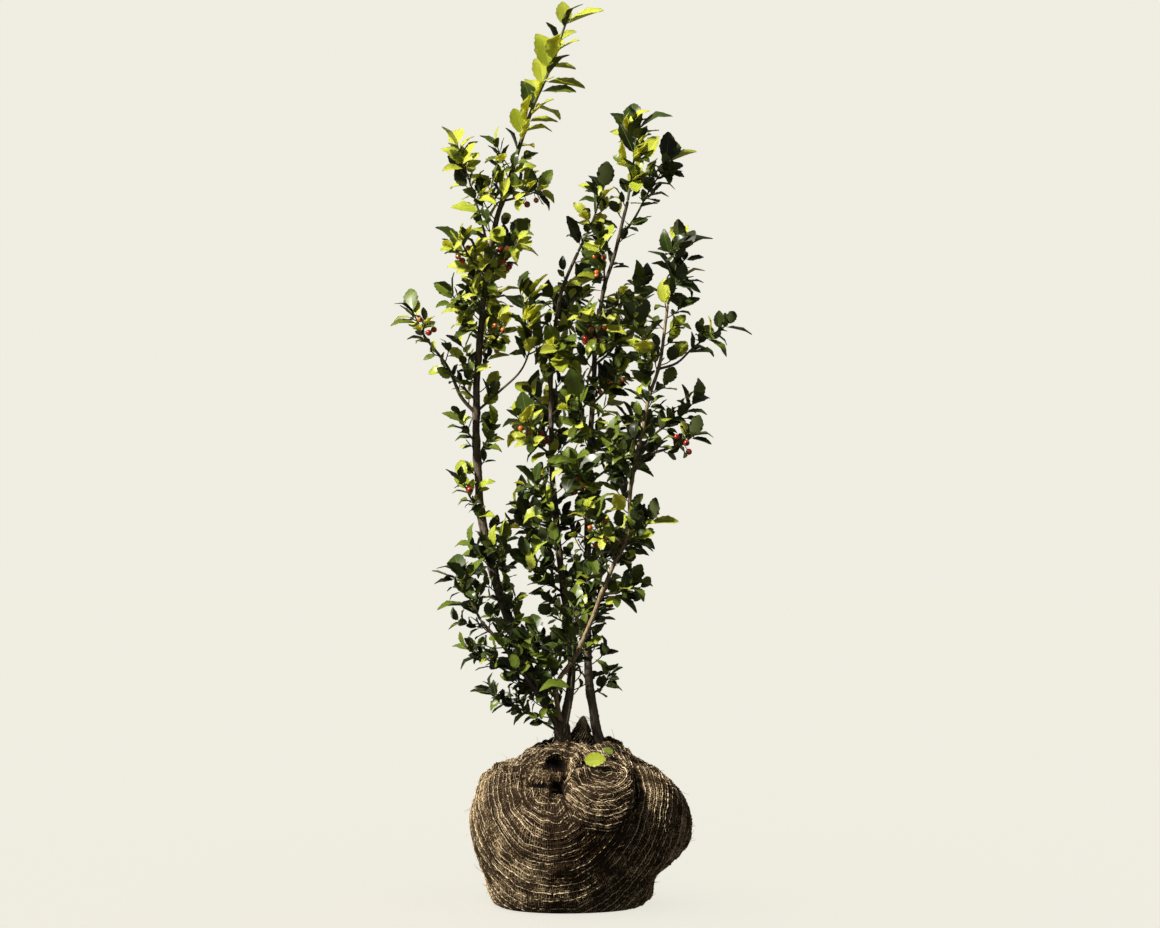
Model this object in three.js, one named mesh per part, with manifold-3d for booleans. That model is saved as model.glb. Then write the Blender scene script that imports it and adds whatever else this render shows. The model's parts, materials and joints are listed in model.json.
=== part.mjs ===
// A young holly shrub, balled and wrapped in jute cloth as a nursery lifts it.
//
// Two woody stools leave the top of the root ball and part into four long stems and a few side
// boughs. Each mass of foliage is one solid: a shoot that leaves its limb, twigs that leave the
// shoot by a repeatable rule, and leaves and berries fused to both. Every mass keeps to the space
// within its own reach, and to the points that lie nearer to its shoot than to any other.
//
// Millimetres, +Z up. The origin is on the flat underside of the root ball, below the stems.

import * as THREE from "three";
import { mergeVertices } from "three/addons/utils/BufferGeometryUtils.js";
import Module from "manifold-3d";

const wasm = await Module();
wasm.setup();

// ---------------------------------------------------------------- driving dimensions

const CLEAR = 0.3; // gap between solids that touch

const BALL_TOP = 216; // height of the pad that the stems stand on
const BALL_PAD_RADIUS = 44;
const BALL_BELLY_RADIUS = 153;
const BALL_BELLY_HEIGHT = 118;
const BALL_FOOT_RADIUS = 104;
const BALL_LEAN = 11; // how far the foot and the shoulder sit to the left of the belly
const BALL_DEPTH = 0.95; // front to back as a share of side to side
const BALL_LOBE = 0.035; // how far out of round, as a share of the radius
const BALL_RIM_LIFT = 9;
const EAR_RADIUS = 12;
const EAR_HEIGHT = 44;
const EAR_SIDES = 7;
const BALL_SIDES = 32;

const STEM_SIDES = 8;
const BOUGH_SIDES = 6;
const STOUT = 5; // a limb thicker than this at its foot gets the stems' sides
const STEM_STEP = 46; // length of one faceted stretch of limb
const FLARE_HEIGHT = 16; // root flare at the foot of a stool
const FLARE_SHARE = 0.45;

const SHOOT_RADIUS = 2.4;
const TWIG_RADIUS = 1.7;
const TIP_RADIUS = 1.2;
const TWIG_SIDES = 3;
const TWIG_STEP = 38;
const TWIG_SPREAD = 0.9; // angle between a twig and its shoot, radians
const TWIG_SHARE = 0.52; // twig length as a share of the mass's reach
const TWIG_BARE = 0.3; // leafless share of a twig
const REACH_PER_TWIG = 9; // a mass gets one twig for each of these beyond the slimmest reach
const SLIM_REACH = 31;
const MOST_TWIGS = 3;
const TWIG_LAST = 0.92; // share of the shoot by which the last twig has left it
const TWIG_RISE = 0.35; // how far the outer half of a twig bends up
const TWIG_TRIES = 4;
const TWIG_TRY_TURN = 1.6; // turn round the shoot from one try to the next, radians
const TWIG_TRY_SHRINK = 0.14;

const LEAF_OVERSIZE = 1.34; // one leaf stands for more than itself
const LEAF_WIDTH = 0.56; // as a share of the leaf's length
const LEAF_THICKNESS = 0.032;
const LEAF_FOLD = 0.1; // how far the edges stand above the midrib
const LEAF_DROOP = 0.08;
const LEAF_GAP = 21; // spacing of leaves along a shoot
const LEAF_ROOT = 0.4; // how far a leaf's stalk is sunk past the twig's axis
const LEAF_SPREAD = 0.95; // angle between a leaf and its shoot, radians
const SHOOT_TIP_LEAVES = 3; // rosette at the end of a mass's own shoot
const TWIG_TIP_LEAVES = 2;
const TIP_GAP = 4.5;
const TIP_SPREAD = 0.66;
const LEAF_LAST = 0.9; // share of the shoot by which the last leaf below the rosette has left it
const LEAF_RISE = 0.12;
const LEAF_FACE_UP = 0.3;
const LEAF_TRIES = 5;
const LEAF_TRY_TURN = 1.25;
const LEAF_TRY_SHRINK = 0.06;

const BERRY_RADIUS = 4.6;
const BERRY_SINK = 1.2; // how deep a berry is pressed on its shoot
const BERRY_FIRST = 0.3; // share of the shoot above which berries sit
const BERRY_TURN = 1.1;
const BERRY_TRIES = 6;

const GOLDEN = Math.PI * (3 - Math.sqrt(5));
const LIMB_MARGIN = 3.5; // foliage keeps this far from every limb's bark
const BORDER = 0.05; // share of the reach left free along the border with a neighbour
const BALL_HEADROOM = 26; // foliage over the ball keeps this far above its top
const BALL_SIDEROOM = 10;
const WELD = 0.2; // corners that a join leaves closer than this are made one

// ---------------------------------------------------------------- colours and finishes

const FINISHES = {
  jute: { color: 0x6f5a3c, roughness: 0.95 },
  bark: { color: 0x4a4036, roughness: 0.85 },
  green_bark: { color: 0x7d6a45, roughness: 0.7 },
  leaf_dark: { color: 0x24401a, roughness: 0.35 },
  leaf_young: { color: 0x7f9c1c, roughness: 0.4 },
};

// ---------------------------------------------------------------- limbs
// way: the points that the limb's axis runs through. from and height: the limb it leaves, and how high.
// thick: radius at the foot and at the tip.

const LIMBS = [
  { name: "stool_left", way: [[-24, 0, BALL_TOP + CLEAR], [-25, 1, 236], [-24, 2, 256]], thick: [9.5, 9], flare: true },
  {
    name: "leader",
    from: "stool_left", height: 246, thick: [8, 2.4],
    way: [[-50, 6, 286], [-84, 14, 356], [-133, 34, 510], [-147, 44, 690], [-140, 38, 804], [-123, 24, 935], [-91, 8, 1042]],
  },
  {
    name: "mid_stem",
    from: "stool_left", height: 250, thick: [6.4, 2.2],
    way: [[-16, 10, 286], [-12, 20, 356], [-28, 42, 475], [-41, 50, 664], [-38, 44, 787], [-21, 30, 874], [-2, 20, 915]],
  },
  {
    name: "right_stem",
    thick: [6.6, 2.2], flare: true,
    way: [[29, 4, BALL_TOP + CLEAR], [15, 12, 290], [11, 26, 365], [11, 46, 538], [17, 44, 689], [28, 30, 833], [52, 12, 924], [67, 0, 985]],
  },
  {
    name: "front_stem",
    from: "stool_left", height: 240, thick: [4.6, 2.8],
    way: [[-33, -15, 306], [-4, -27, 353], [17, -34, 402], [43, -40, 468], [67, -42, 521], [70, -42, 580], [84, -40, 650], [97, -36, 715]],
  },
  { name: "front_fork", from: "front_stem", height: 712, thick: [2.6, 2], way: [[112, -32, 760], [122, -30, 838]] },
  { name: "left_high_bough", from: "leader", height: 686, thick: [2.8, 1.9], way: [[-168, 34, 712], [-188, 24, 756], [-206, 16, 779]] },
  { name: "low_left_bough", from: "stool_left", height: 234, thick: [3.6, 2.1], way: [[-58, -24, 292], [-96, -42, 349], [-138, -48, 400]] },
  { name: "right_low_bough", from: "front_stem", height: 607, thick: [2.6, 1.8], way: [[94, -46, 628], [124, -48, 638]] },
];

// ---------------------------------------------------------------- masses of foliage
// way: the points that the mass's shoot runs through after it leaves its limb, which it does at height,
// or at the limb's tip where no height is given. reach: radius of the mass's own space round the leafy part of the shoot.
// bare: leafless share of the shoot. leaf: leaf length. berries: number of fruit.

const MASSES = [
  { name: "leader_tip", limb: "leader", way: [[-66, 5, 1116], [-44, 0, 1165], [-20, -4, 1232]], reach: 60, leaf: 56, young: true },
  { name: "left_spire", limb: "leader", height: 912, way: [[-137, 20, 952], [-151, 12, 1000], [-172, 6, 1064]], reach: 47, leaf: 44, bare: 0.35, young: true },
  { name: "leader_right", limb: "leader", height: 985, way: [[-76, 2, 992], [-54, -8, 1000]], reach: 40, leaf: 36, bare: 0.3, berries: 3, young: true },
  { name: "leader_left_upper", limb: "leader", height: 884, way: [[-150, 10, 900], [-170, -5, 932]], reach: 49, leaf: 42, bare: 0.15, berries: 2, young: true },
  { name: "leader_right_upper", limb: "leader", height: 886, way: [[-104, 12, 902], [-84, -4, 936]], reach: 49, leaf: 40, bare: 0.15, berries: 2 },
  { name: "leader_back", limb: "leader", height: 790, way: [[-135, 84, 826], [-122, 112, 892]], reach: 69, leaf: 42, bare: 0.25 },
  { name: "leader_left_mid", limb: "leader", height: 796, way: [[-158, 24, 816], [-180, 12, 856]], reach: 49, leaf: 38, bare: 0.15 },
  { name: "leader_mid_right", limb: "leader", height: 766, way: [[-120, 15, 794], [-104, -2, 822]], reach: 47, leaf: 40, bare: 0.2, berries: 3 },
  { name: "left_tuft", limb: "left_high_bough", way: [[-222, 12, 802], [-234, 8, 830]], reach: 43, leaf: 38, bare: 0.1, berries: 2 },
  { name: "inner_tuft", limb: "leader", height: 690, way: [[-114, 36, 718], [-80, 18, 752], [-68, 2, 800], [-84, -6, 858]], reach: 54, leaf: 48, bare: 0.5, young: true },
  { name: "leader_low_left", limb: "leader", height: 646, way: [[-158, 32, 660], [-170, 26, 684]], reach: 34, leaf: 34, bare: 0.2 },
  { name: "leader_low_right", limb: "leader", height: 622, way: [[-133, 30, 646], [-121, 20, 668]], reach: 34, leaf: 38, bare: 0.2 },
  { name: "leader_foot_left", limb: "leader", height: 548, way: [[-154, 30, 568], [-166, 22, 596]], reach: 38, leaf: 34, bare: 0.2, berries: 2 },
  { name: "leader_base", limb: "leader", height: 466, way: [[-112, 8, 484], [-104, -6, 510]], reach: 38, leaf: 48, bare: 0.2 },

  { name: "low_left_tuft", limb: "low_left_bough", way: [[-152, -46, 428], [-164, -40, 462]], reach: 56, leaf: 46 },
  { name: "low_left_tips", limb: "leader", height: 300, way: [[-96, -4, 322], [-134, -12, 346], [-162, -14, 362]], reach: 38, leaf: 36, bare: 0.5 },
  { name: "left_skirt", limb: "stool_left", height: 238, way: [[-64, -2, 262], [-94, -8, 280], [-130, -16, 304]], reach: 47, leaf: 36, bare: 0.4 },
  { name: "low_centre_left", limb: "leader", height: 326, way: [[-66, -26, 350], [-56, -62, 384]], reach: 63, leaf: 40, bare: 0.2 },
  { name: "low_front", limb: "stool_left", height: 228, way: [[-14, -48, 276], [-10, -88, 346], [-8, -104, 424]], reach: 69, leaf: 42, bare: 0.4 },
  { name: "low_back", limb: "right_stem", height: 372, way: [[16, 78, 404], [4, 112, 464]], reach: 74, leaf: 42, bare: 0.2 },
  { name: "stool_sprig", limb: "right_stem", height: 292, way: [[32, 2, 304], [42, -6, 326]], reach: 34, leaf: 30, bare: 0.2 },

  { name: "centre_left_low", limb: "mid_stem", height: 434, way: [[-54, 24, 456], [-76, 6, 492]], reach: 58, leaf: 40, bare: 0.15 },
  { name: "centre_left", limb: "mid_stem", height: 542, way: [[-50, 20, 560], [-62, -6, 592]], reach: 54, leaf: 38, bare: 0.15 },
  { name: "centre_left_high", limb: "mid_stem", height: 628, way: [[-58, 28, 644], [-74, 4, 676]], reach: 58, leaf: 42, bare: 0.15, berries: 3 },
  { name: "mid_core", limb: "mid_stem", height: 738, way: [[-34, 6, 758], [-26, -38, 790]], reach: 60, leaf: 42, bare: 0.2 },
  { name: "mid_tip", limb: "mid_stem", way: [[18, 10, 958], [36, 4, 1010]], reach: 47, leaf: 42, young: true },
  { name: "mid_back_upper", limb: "mid_stem", height: 800, way: [[-20, 86, 828], [0, 118, 876]], reach: 65, leaf: 42, bare: 0.2 },
  { name: "mid_back", limb: "mid_stem", height: 640, way: [[-52, 96, 664], [-62, 138, 712]], reach: 69, leaf: 42, bare: 0.2 },
  { name: "mid_back_low", limb: "mid_stem", height: 490, way: [[-56, 84, 514], [-82, 118, 562]], reach: 74, leaf: 42, bare: 0.2 },

  { name: "right_crown", limb: "right_stem", way: [[74, -2, 1030], [80, -5, 1088]], reach: 54, leaf: 48, young: true },
  { name: "right_crown_side", limb: "right_stem", height: 930, way: [[76, 12, 960], [94, 14, 994], [126, 14, 1044]], reach: 45, leaf: 44, bare: 0.4 },
  { name: "right_upper", limb: "right_stem", height: 862, way: [[34, -6, 888], [34, -26, 930]], reach: 52, leaf: 38, bare: 0.15, berries: 4, young: true },
  { name: "right_mid_out", limb: "right_stem", height: 828, way: [[58, 14, 842], [88, 2, 868]], reach: 49, leaf: 42, bare: 0.2 },
  { name: "right_mid_core", limb: "right_stem", height: 774, way: [[20, -14, 794], [14, -50, 824]], reach: 56, leaf: 40, bare: 0.2, berries: 3 },
  { name: "right_core", limb: "right_stem", height: 700, way: [[38, 12, 722], [58, -8, 754]], reach: 54, leaf: 42, bare: 0.2, berries: 2 },
  { name: "core_front_upper", limb: "right_stem", height: 650, way: [[6, 0, 674], [-2, -44, 706]], reach: 60, leaf: 42, bare: 0.2 },
  { name: "core_front", limb: "right_stem", height: 562, way: [[2, 0, 586], [-8, -48, 618]], reach: 60, leaf: 42, bare: 0.2, berries: 3 },
  { name: "right_back_upper", limb: "right_stem", height: 756, way: [[48, 78, 782], [72, 106, 832]], reach: 65, leaf: 42, bare: 0.2 },
  { name: "right_back", limb: "right_stem", height: 590, way: [[48, 92, 618], [78, 124, 676]], reach: 69, leaf: 42, bare: 0.2 },
  { name: "right_back_low", limb: "right_stem", height: 470, way: [[52, 74, 494], [84, 96, 540]], reach: 67, leaf: 40, bare: 0.2 },

  { name: "front_inner", limb: "front_stem", way: [[90, -48, 762], [82, -58, 814]], reach: 47, leaf: 46 },
  { name: "right_spire", limb: "front_fork", way: [[131, -30, 876], [139, -32, 922]], reach: 52, leaf: 48, young: true },
  { name: "right_tip", limb: "front_fork", height: 748, way: [[134, -34, 756], [160, -30, 780], [206, -28, 810]], reach: 38, leaf: 38, bare: 0.4 },
  { name: "right_wing_upper", limb: "front_stem", height: 640, way: [[112, -30, 664], [140, -26, 682], [160, -26, 704]], reach: 45, leaf: 38, bare: 0.35 },
  { name: "right_wing", limb: "right_low_bough", way: [[142, -50, 644], [160, -50, 658]], reach: 38, leaf: 34, berries: 3 },
  { name: "front_side", limb: "front_stem", height: 592, way: [[58, -66, 614], [44, -82, 650]], reach: 56, leaf: 40, bare: 0.2 },
  { name: "front_low_right", limb: "front_stem", height: 506, way: [[82, -50, 518], [98, -56, 540]], reach: 45, leaf: 38, bare: 0.15, young: true },
  { name: "front_low_in", limb: "front_stem", height: 484, way: [[36, -62, 508], [22, -80, 544]], reach: 58, leaf: 40, bare: 0.15, berries: 3 },
  { name: "front_base_right", limb: "front_stem", height: 436, way: [[54, -36, 438], [74, -38, 454]], reach: 47, leaf: 40, bare: 0.15 },
];

// ---------------------------------------------------------------- small tools

const UP = new THREE.Vector3(0, 0, 1);
const SIDEWAYS = new THREE.Vector3(1, 0, 0);
const STEEP = 0.8;
const CHANCE_STEPS = [12.9898, 78.233, 37.719, 53.117];
const CHANCE_SCALE = 43758.5453;

// A repeatable number from 0 to 1 for a few whole numbers, so that no draw depends on the one before it.
function chance(...keys) {
  const mixed = keys.reduce((sum, key, place) => sum + (key + 1) * CHANCE_STEPS[place], 0);
  const wave = Math.sin(mixed) * CHANCE_SCALE;
  return wave - Math.floor(wave);
}

function lerp(low, high, share) {
  return low + (high - low) * share;
}

function curveThrough(points) {
  return new THREE.CatmullRomCurve3(points.map((p) => new THREE.Vector3(...p)), false, "centripetal");
}

// The point of a rising curve at a height, or its tip where no height is given.
function pointAtHeight(curve, height) {
  if (height === undefined) return curve.getPointAt(1);
  const points = curve.getSpacedPoints(400);
  return points.reduce((best, p) => (Math.abs(p.z - height) < Math.abs(best.z - height) ? p : best));
}

// Two directions square to a tangent, the same for the same tangent.
function crossAxes(tangent) {
  const reference = Math.abs(tangent.z) > STEEP ? SIDEWAYS : UP;
  const side = new THREE.Vector3().crossVectors(tangent, reference).normalize();
  return [side, new THREE.Vector3().crossVectors(side, tangent)];
}

function radialAt(tangent, turn) {
  const [side, other] = crossAxes(tangent);
  return side.multiplyScalar(Math.cos(turn)).addScaledVector(other, Math.sin(turn));
}

function solidOf(geometry) {
  const bare = geometry.clone();
  bare.deleteAttribute("normal");
  bare.deleteAttribute("uv");
  const merged = mergeVertices(bare, 1e-4);
  const corners = merged.index.array;
  const kept = [];
  for (let i = 0; i < corners.length; i += 3) {
    const [a, b, c] = corners.slice(i, i + 3);
    if (a !== b && b !== c && c !== a) kept.push(a, b, c);
  }
  return new wasm.Manifold(
    new wasm.Mesh({ numProp: 3, vertProperties: merged.attributes.position.array, triVerts: Uint32Array.from(kept) }),
  );
}

function geometryOf(solid) {
  const mesh = solid.getMesh();
  const geometry = new THREE.BufferGeometry();
  geometry.setAttribute("position", new THREE.BufferAttribute(new Float32Array(mesh.vertProperties), 3));
  geometry.setIndex(new THREE.BufferAttribute(new Uint32Array(mesh.triVerts), 1));
  geometry.computeVertexNormals();
  return geometry;
}

function pieceOf(solid) {
  const { min, max } = solid.boundingBox();
  return { solid, box: new THREE.Box3(new THREE.Vector3(...min), new THREE.Vector3(...max)) };
}

function cross(one, other) {
  return one.box.intersectsBox(other.box) && !one.solid.intersect(other.solid).isEmpty();
}

function largestBody(solid) {
  return solid.decompose().reduce((best, body) => (body.volume() > best.volume() ? body : best));
}

// ---------------------------------------------------------------- limbs and twigs

// A closed tapering tube along a curve: a cylinder whose rings are carried to the curve.
function tubeGeometry(curve, radiusAt, sides, steps, overrun = 0) {
  const tube = new THREE.CylinderGeometry(1, 1, 1, sides, steps);
  const frames = curve.computeFrenetFrames(steps, false);
  const position = tube.attributes.position;
  const place = new THREE.Vector3();
  for (let i = 0; i < position.count; i++) {
    const step = Math.round((0.5 - position.getY(i)) * steps);
    const share = step / steps;
    const radius = radiusAt(share);
    curve.getPointAt(share, place);
    if (step === 0) place.addScaledVector(frames.tangents[0], -overrun);
    if (step === steps) place.addScaledVector(frames.tangents[steps], overrun);
    place.addScaledVector(frames.normals[step], position.getX(i) * radius);
    place.addScaledVector(frames.binormals[step], position.getZ(i) * radius);
    position.setXYZ(i, place.x, place.y, place.z);
  }
  return tube;
}

function limbRadius(limb, length) {
  const [foot, tip] = limb.thick;
  return (share) => {
    const flare = limb.flare ? FLARE_SHARE * Math.exp((-share * length) / FLARE_HEIGHT) : 0;
    return lerp(foot, tip, share ** 0.8) * (1 + flare);
  };
}

function limbSolid(limb, grown = 0) {
  const steps = Math.max(2, Math.round(limb.length / STEM_STEP));
  const radius = (share) => limb.radius(share) + grown;
  const sides = limb.thick[0] > STOUT ? STEM_SIDES : BOUGH_SIDES;
  return solidOf(tubeGeometry(limb.curve, radius, sides, steps, grown));
}

// A stool's foot is cut level where it stands.
function cutLevel(solid, height) {
  return solid.trimByPlane([0, 0, 1], height);
}

function growLimbs() {
  const limbs = new Map();
  for (const row of LIMBS) {
    const parent = limbs.get(row.from);
    const start = parent ? [pointAtHeight(parent.curve, row.height).toArray()] : [];
    const curve = curveThrough([...start, ...row.way]);
    const limb = { ...row, curve, length: curve.getLength() };
    limb.radius = limbRadius(limb, limb.length);
    limb.solid = limbSolid(limb);
    if (!parent) limb.solid = cutLevel(limb.solid, BALL_TOP + CLEAR);
    for (const earlier of limbs.values()) limb.solid = limb.solid.subtract(earlier.grown);
    limb.solid = largestBody(limb.solid).asOriginal();
    limb.grown = limbSolid(limb, CLEAR);
    const count = Math.ceil(limb.length / 5);
    limb.samples = curve.getSpacedPoints(count).map((p, i) => ({ p, radius: limb.radius(i / count) }));
    limbs.set(row.name, limb);
  }
  return limbs;
}

// ---------------------------------------------------------------- leaves and berries

// One leaf along +X with its face up: eight faces, edges raised above the midrib, tip drooping.
function leafSolid() {
  const leaf = new THREE.OctahedronGeometry(1);
  const position = leaf.attributes.position;
  for (let i = 0; i < position.count; i++) {
    const [x, y, z] = [position.getX(i), position.getY(i), position.getZ(i)];
    const edge = Math.abs(y);
    position.setXYZ(
      i,
      (x + 1) / 2 + 0.02 * edge,
      (y * LEAF_WIDTH) / 2,
      (z * LEAF_THICKNESS) / 2 + LEAF_FOLD * edge - (x > 0.5 ? LEAF_DROOP : 0),
    );
  }
  return solidOf(leaf);
}

function berrySolid() {
  return solidOf(new THREE.IcosahedronGeometry(BERRY_RADIUS, 0));
}

const LEAF = leafSolid();
const BERRY = berrySolid();

// Points that stand for a leaf when its room is tested, as [along, across] shares.
const LEAF_PROBES = [
  [0.3, -0.3], [0.3, 0.3], [0.55, -0.5], [0.55, 0], [0.55, 0.5], [0.8, -0.25], [0.8, 0.25], [1, 0],
];

function leafMatrix(root, direction, normal, length) {
  const along = direction.clone().normalize();
  const across = new THREE.Vector3().crossVectors(normal, along).normalize();
  const face = new THREE.Vector3().crossVectors(along, across);
  const start = root.clone().addScaledVector(along, -LEAF_ROOT);
  return new THREE.Matrix4().makeBasis(along, across, face).scale(new THREE.Vector3(length, length, length)).setPosition(start);
}

// ---------------------------------------------------------------- the space of each mass

function nearestShare(point, mass) {
  let nearest = Infinity;
  for (const p of mass.axis) nearest = Math.min(nearest, p.distanceToSquared(point));
  return Math.sqrt(nearest) / mass.reach;
}

// A point is a mass's own when it lies within the reach, and nearer to this mass than to any other.
function isOwn(point, mass, masses) {
  const own = nearestShare(point, mass);
  if (own > 1) return false;
  return masses.every((other) => other === mass || nearestShare(point, other) > own + BORDER);
}

function clearOfWood(point, mass, { limbs, masses }) {
  for (const limb of limbs.values())
    for (const { p, radius } of limb.samples) if (p.distanceTo(point) < radius + LIMB_MARGIN) return false;
  return masses.every((other) => other === mass || other.stalk.every((p) => p.distanceTo(point) > SHOOT_RADIUS + LIMB_MARGIN));
}

function clearOfBall(point) {
  return point.z > BALL_TOP + BALL_HEADROOM || Math.hypot(point.x, point.y) > BALL_BELLY_RADIUS + BALL_SIDEROOM;
}

function hasRoom(points, mass, plant) {
  return points.every((p) => isOwn(p, mass, plant.masses) && clearOfWood(p, mass, plant) && clearOfBall(p));
}

// ---------------------------------------------------------------- growth

// Twigs leave the shoot turn by turn, each at the golden angle from the last.
function twigsOf(shoot, mass, plant) {
  const count = THREE.MathUtils.clamp(Math.round((mass.reach - SLIM_REACH) / REACH_PER_TWIG), 0, MOST_TWIGS);
  const twigs = [];
  for (let i = 0; i < count; i++) {
    const share = lerp(mass.bare, TWIG_LAST, (i + 0.4) / count);
    const root = heartOf(shoot, share);
    const tangent = shoot.curve.getTangentAt(share);
    for (let attempt = 0; attempt < TWIG_TRIES; attempt++) {
      const radial = radialAt(tangent, i * GOLDEN + chance(mass.seed, i, 1) * 2 + attempt * TWIG_TRY_TURN);
      const length = mass.reach * TWIG_SHARE * lerp(0.85, 1.1, chance(mass.seed, i, 2)) * (1 - TWIG_TRY_SHRINK * attempt);
      const heading = tangent.clone().multiplyScalar(Math.cos(TWIG_SPREAD)).addScaledVector(radial, Math.sin(TWIG_SPREAD));
      const middle = root.clone().addScaledVector(heading, length * 0.5);
      const end = middle.clone().addScaledVector(heading.clone().addScaledVector(UP, TWIG_RISE).normalize(), length * 0.5);
      if (!hasRoom([middle, end], mass, plant)) continue;
      const curve = curveThrough([root.toArray(), middle.toArray(), end.toArray()]);
      twigs.push(shootOf(curve, [TWIG_RADIUS, TIP_RADIUS], TWIG_BARE, i + 1));
      break;
    }
  }
  return twigs;
}

function shootOf(curve, [foot, tip], bare, key) {
  const length = curve.getLength();
  const steps = Math.max(1, Math.round(length / TWIG_STEP));
  const tube = tubeGeometry(curve, (share) => lerp(foot, tip, share), TWIG_SIDES, steps);
  return { curve, length, steps, bare, key, ...pieceOf(solidOf(tube)) };
}

// The middle of a shoot's faceted wood, which cuts the corners of its curve.
function heartOf(shoot, share) {
  const step = Math.min(Math.floor(share * shoot.steps), shoot.steps - 1);
  const [below, above] = [step, step + 1].map((ring) => shoot.curve.getPointAt(ring / shoot.steps));
  return below.lerp(above, share * shoot.steps - step);
}

// Where the leaves stand on a shoot, as [share of its length, spread]: spaced along it, then a rosette.
function leafPlaces(shoot) {
  const count = Math.max(1, Math.round((shoot.length * (1 - shoot.bare)) / LEAF_GAP));
  const along = Array.from({ length: count }, (_, i) => [lerp(shoot.bare, LEAF_LAST, (i + 0.3) / count), LEAF_SPREAD]);
  const last = shoot.key === 0 ? SHOOT_TIP_LEAVES : TWIG_TIP_LEAVES;
  const rosette = Array.from({ length: last }, (_, i) => [1 - (1 + TIP_GAP * (last - 1 - i)) / shoot.length, TIP_SPREAD]);
  return [...along, ...rosette];
}

// A leaf takes its golden-angle turn, or the next turn that has room and crosses nothing, or is left out.
function leafAt(shoot, [share, tilt], key, mass, plant, others) {
  const root = heartOf(shoot, share);
  const tangent = shoot.curve.getTangentAt(share);
  const length = mass.leaf * LEAF_OVERSIZE * lerp(0.84, 1.12, chance(mass.seed, shoot.key, key, 5));
  const spread = tilt * lerp(0.85, 1.15, chance(mass.seed, shoot.key, key, 6));
  for (let attempt = 0; attempt < LEAF_TRIES; attempt++) {
    const radial = radialAt(tangent, key * GOLDEN + chance(mass.seed, shoot.key, 4) * 6 + attempt * LEAF_TRY_TURN);
    const direction = tangent.clone().multiplyScalar(Math.cos(spread)).addScaledVector(radial, Math.sin(spread));
    const normal = tangent.clone().multiplyScalar(Math.sin(spread)).addScaledVector(radial, -Math.cos(spread));
    direction.addScaledVector(UP, LEAF_RISE);
    normal.addScaledVector(UP, LEAF_FACE_UP);
    const matrix = leafMatrix(root, direction, normal, length * (1 - LEAF_TRY_SHRINK * attempt));
    const probes = LEAF_PROBES.map(([x, y]) => new THREE.Vector3(x, y * LEAF_WIDTH, LEAF_FOLD * Math.abs(y)).applyMatrix4(matrix));
    if (!hasRoom(probes, mass, plant)) continue;
    const leaf = pieceOf(LEAF.transform(matrix.elements));
    if (!others.some((other) => other !== shoot && cross(leaf, other))) return leaf;
  }
  return null;
}

// Berries sit in the axils, close against the shoot.
function berryAt(shoot, index, mass, plant, others) {
  const share = lerp(Math.max(mass.bare, BERRY_FIRST), LEAF_LAST, (index + 0.5) / mass.berries);
  const root = heartOf(shoot, share);
  const tangent = shoot.curve.getTangentAt(share);
  for (let attempt = 0; attempt < BERRY_TRIES; attempt++) {
    const radial = radialAt(tangent, index * BERRY_TURN + chance(mass.seed, 7) * 6 + attempt);
    const middle = root.clone().addScaledVector(radial, BERRY_RADIUS + TIP_RADIUS - BERRY_SINK);
    if (!hasRoom([middle, middle.clone().addScaledVector(radial, BERRY_RADIUS)], mass, plant)) continue;
    const fruit = pieceOf(BERRY.translate(middle.toArray()));
    if (!others.some((other) => other !== shoot && cross(fruit, other))) return fruit;
  }
  return null;
}

function settleMasses(limbs) {
  return MASSES.map((row, index) => {
    const limb = limbs.get(row.limb);
    const curve = curveThrough([pointAtHeight(limb.curve, row.height).toArray(), ...row.way]);
    const bare = row.bare ?? 0.05;
    const points = curve.getSpacedPoints(40);
    const split = Math.round(bare * 40);
    return { ...row, curve, bare, stalk: points.slice(0, split), axis: points.slice(split), seed: index + 1 };
  });
}

function massSolid(mass, plant) {
  const leading = shootOf(mass.curve, [SHOOT_RADIUS, TIP_RADIUS], mass.bare, 0);
  const shoots = [leading, ...twigsOf(leading, mass, plant)];
  const grown = [...shoots];
  const keep = (piece) => piece && grown.push(piece);
  for (let i = 0; i < (mass.berries ?? 0); i++) keep(berryAt(leading, i, mass, plant, grown));
  for (const shoot of shoots) {
    leafPlaces(shoot).forEach((place, key) => keep(leafAt(shoot, place, key, mass, plant, grown)));
  }
  let solid = wasm.Manifold.union(grown.map((piece) => piece.solid)).asOriginal().simplify(WELD);
  for (const limb of plant.limbs.values()) solid = solid.subtract(limb.grown);
  return largestBody(solid);
}

// ---------------------------------------------------------------- root ball

// The wrapped ball's outline from the middle of its flat underside to the middle of the pad on top.
function ballProfile() {
  return [
    [0, 0],
    [BALL_FOOT_RADIUS, 0],
    [BALL_FOOT_RADIUS + 16, 14],
    [BALL_BELLY_RADIUS - 19, 52],
    [BALL_BELLY_RADIUS - 5, 86],
    [BALL_BELLY_RADIUS, BALL_BELLY_HEIGHT],
    [BALL_BELLY_RADIUS - 4, 142],
    [BALL_BELLY_RADIUS - 17, 167],
    [BALL_BELLY_RADIUS - 44, 191],
    [BALL_PAD_RADIUS + 32, 208],
    [BALL_PAD_RADIUS + 15, BALL_TOP + 4],
    [BALL_PAD_RADIUS + 5, BALL_TOP + 6],
    [BALL_PAD_RADIUS, BALL_TOP],
    [0, BALL_TOP],
  ].map(([radius, height]) => new THREE.Vector2(radius, height));
}

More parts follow.
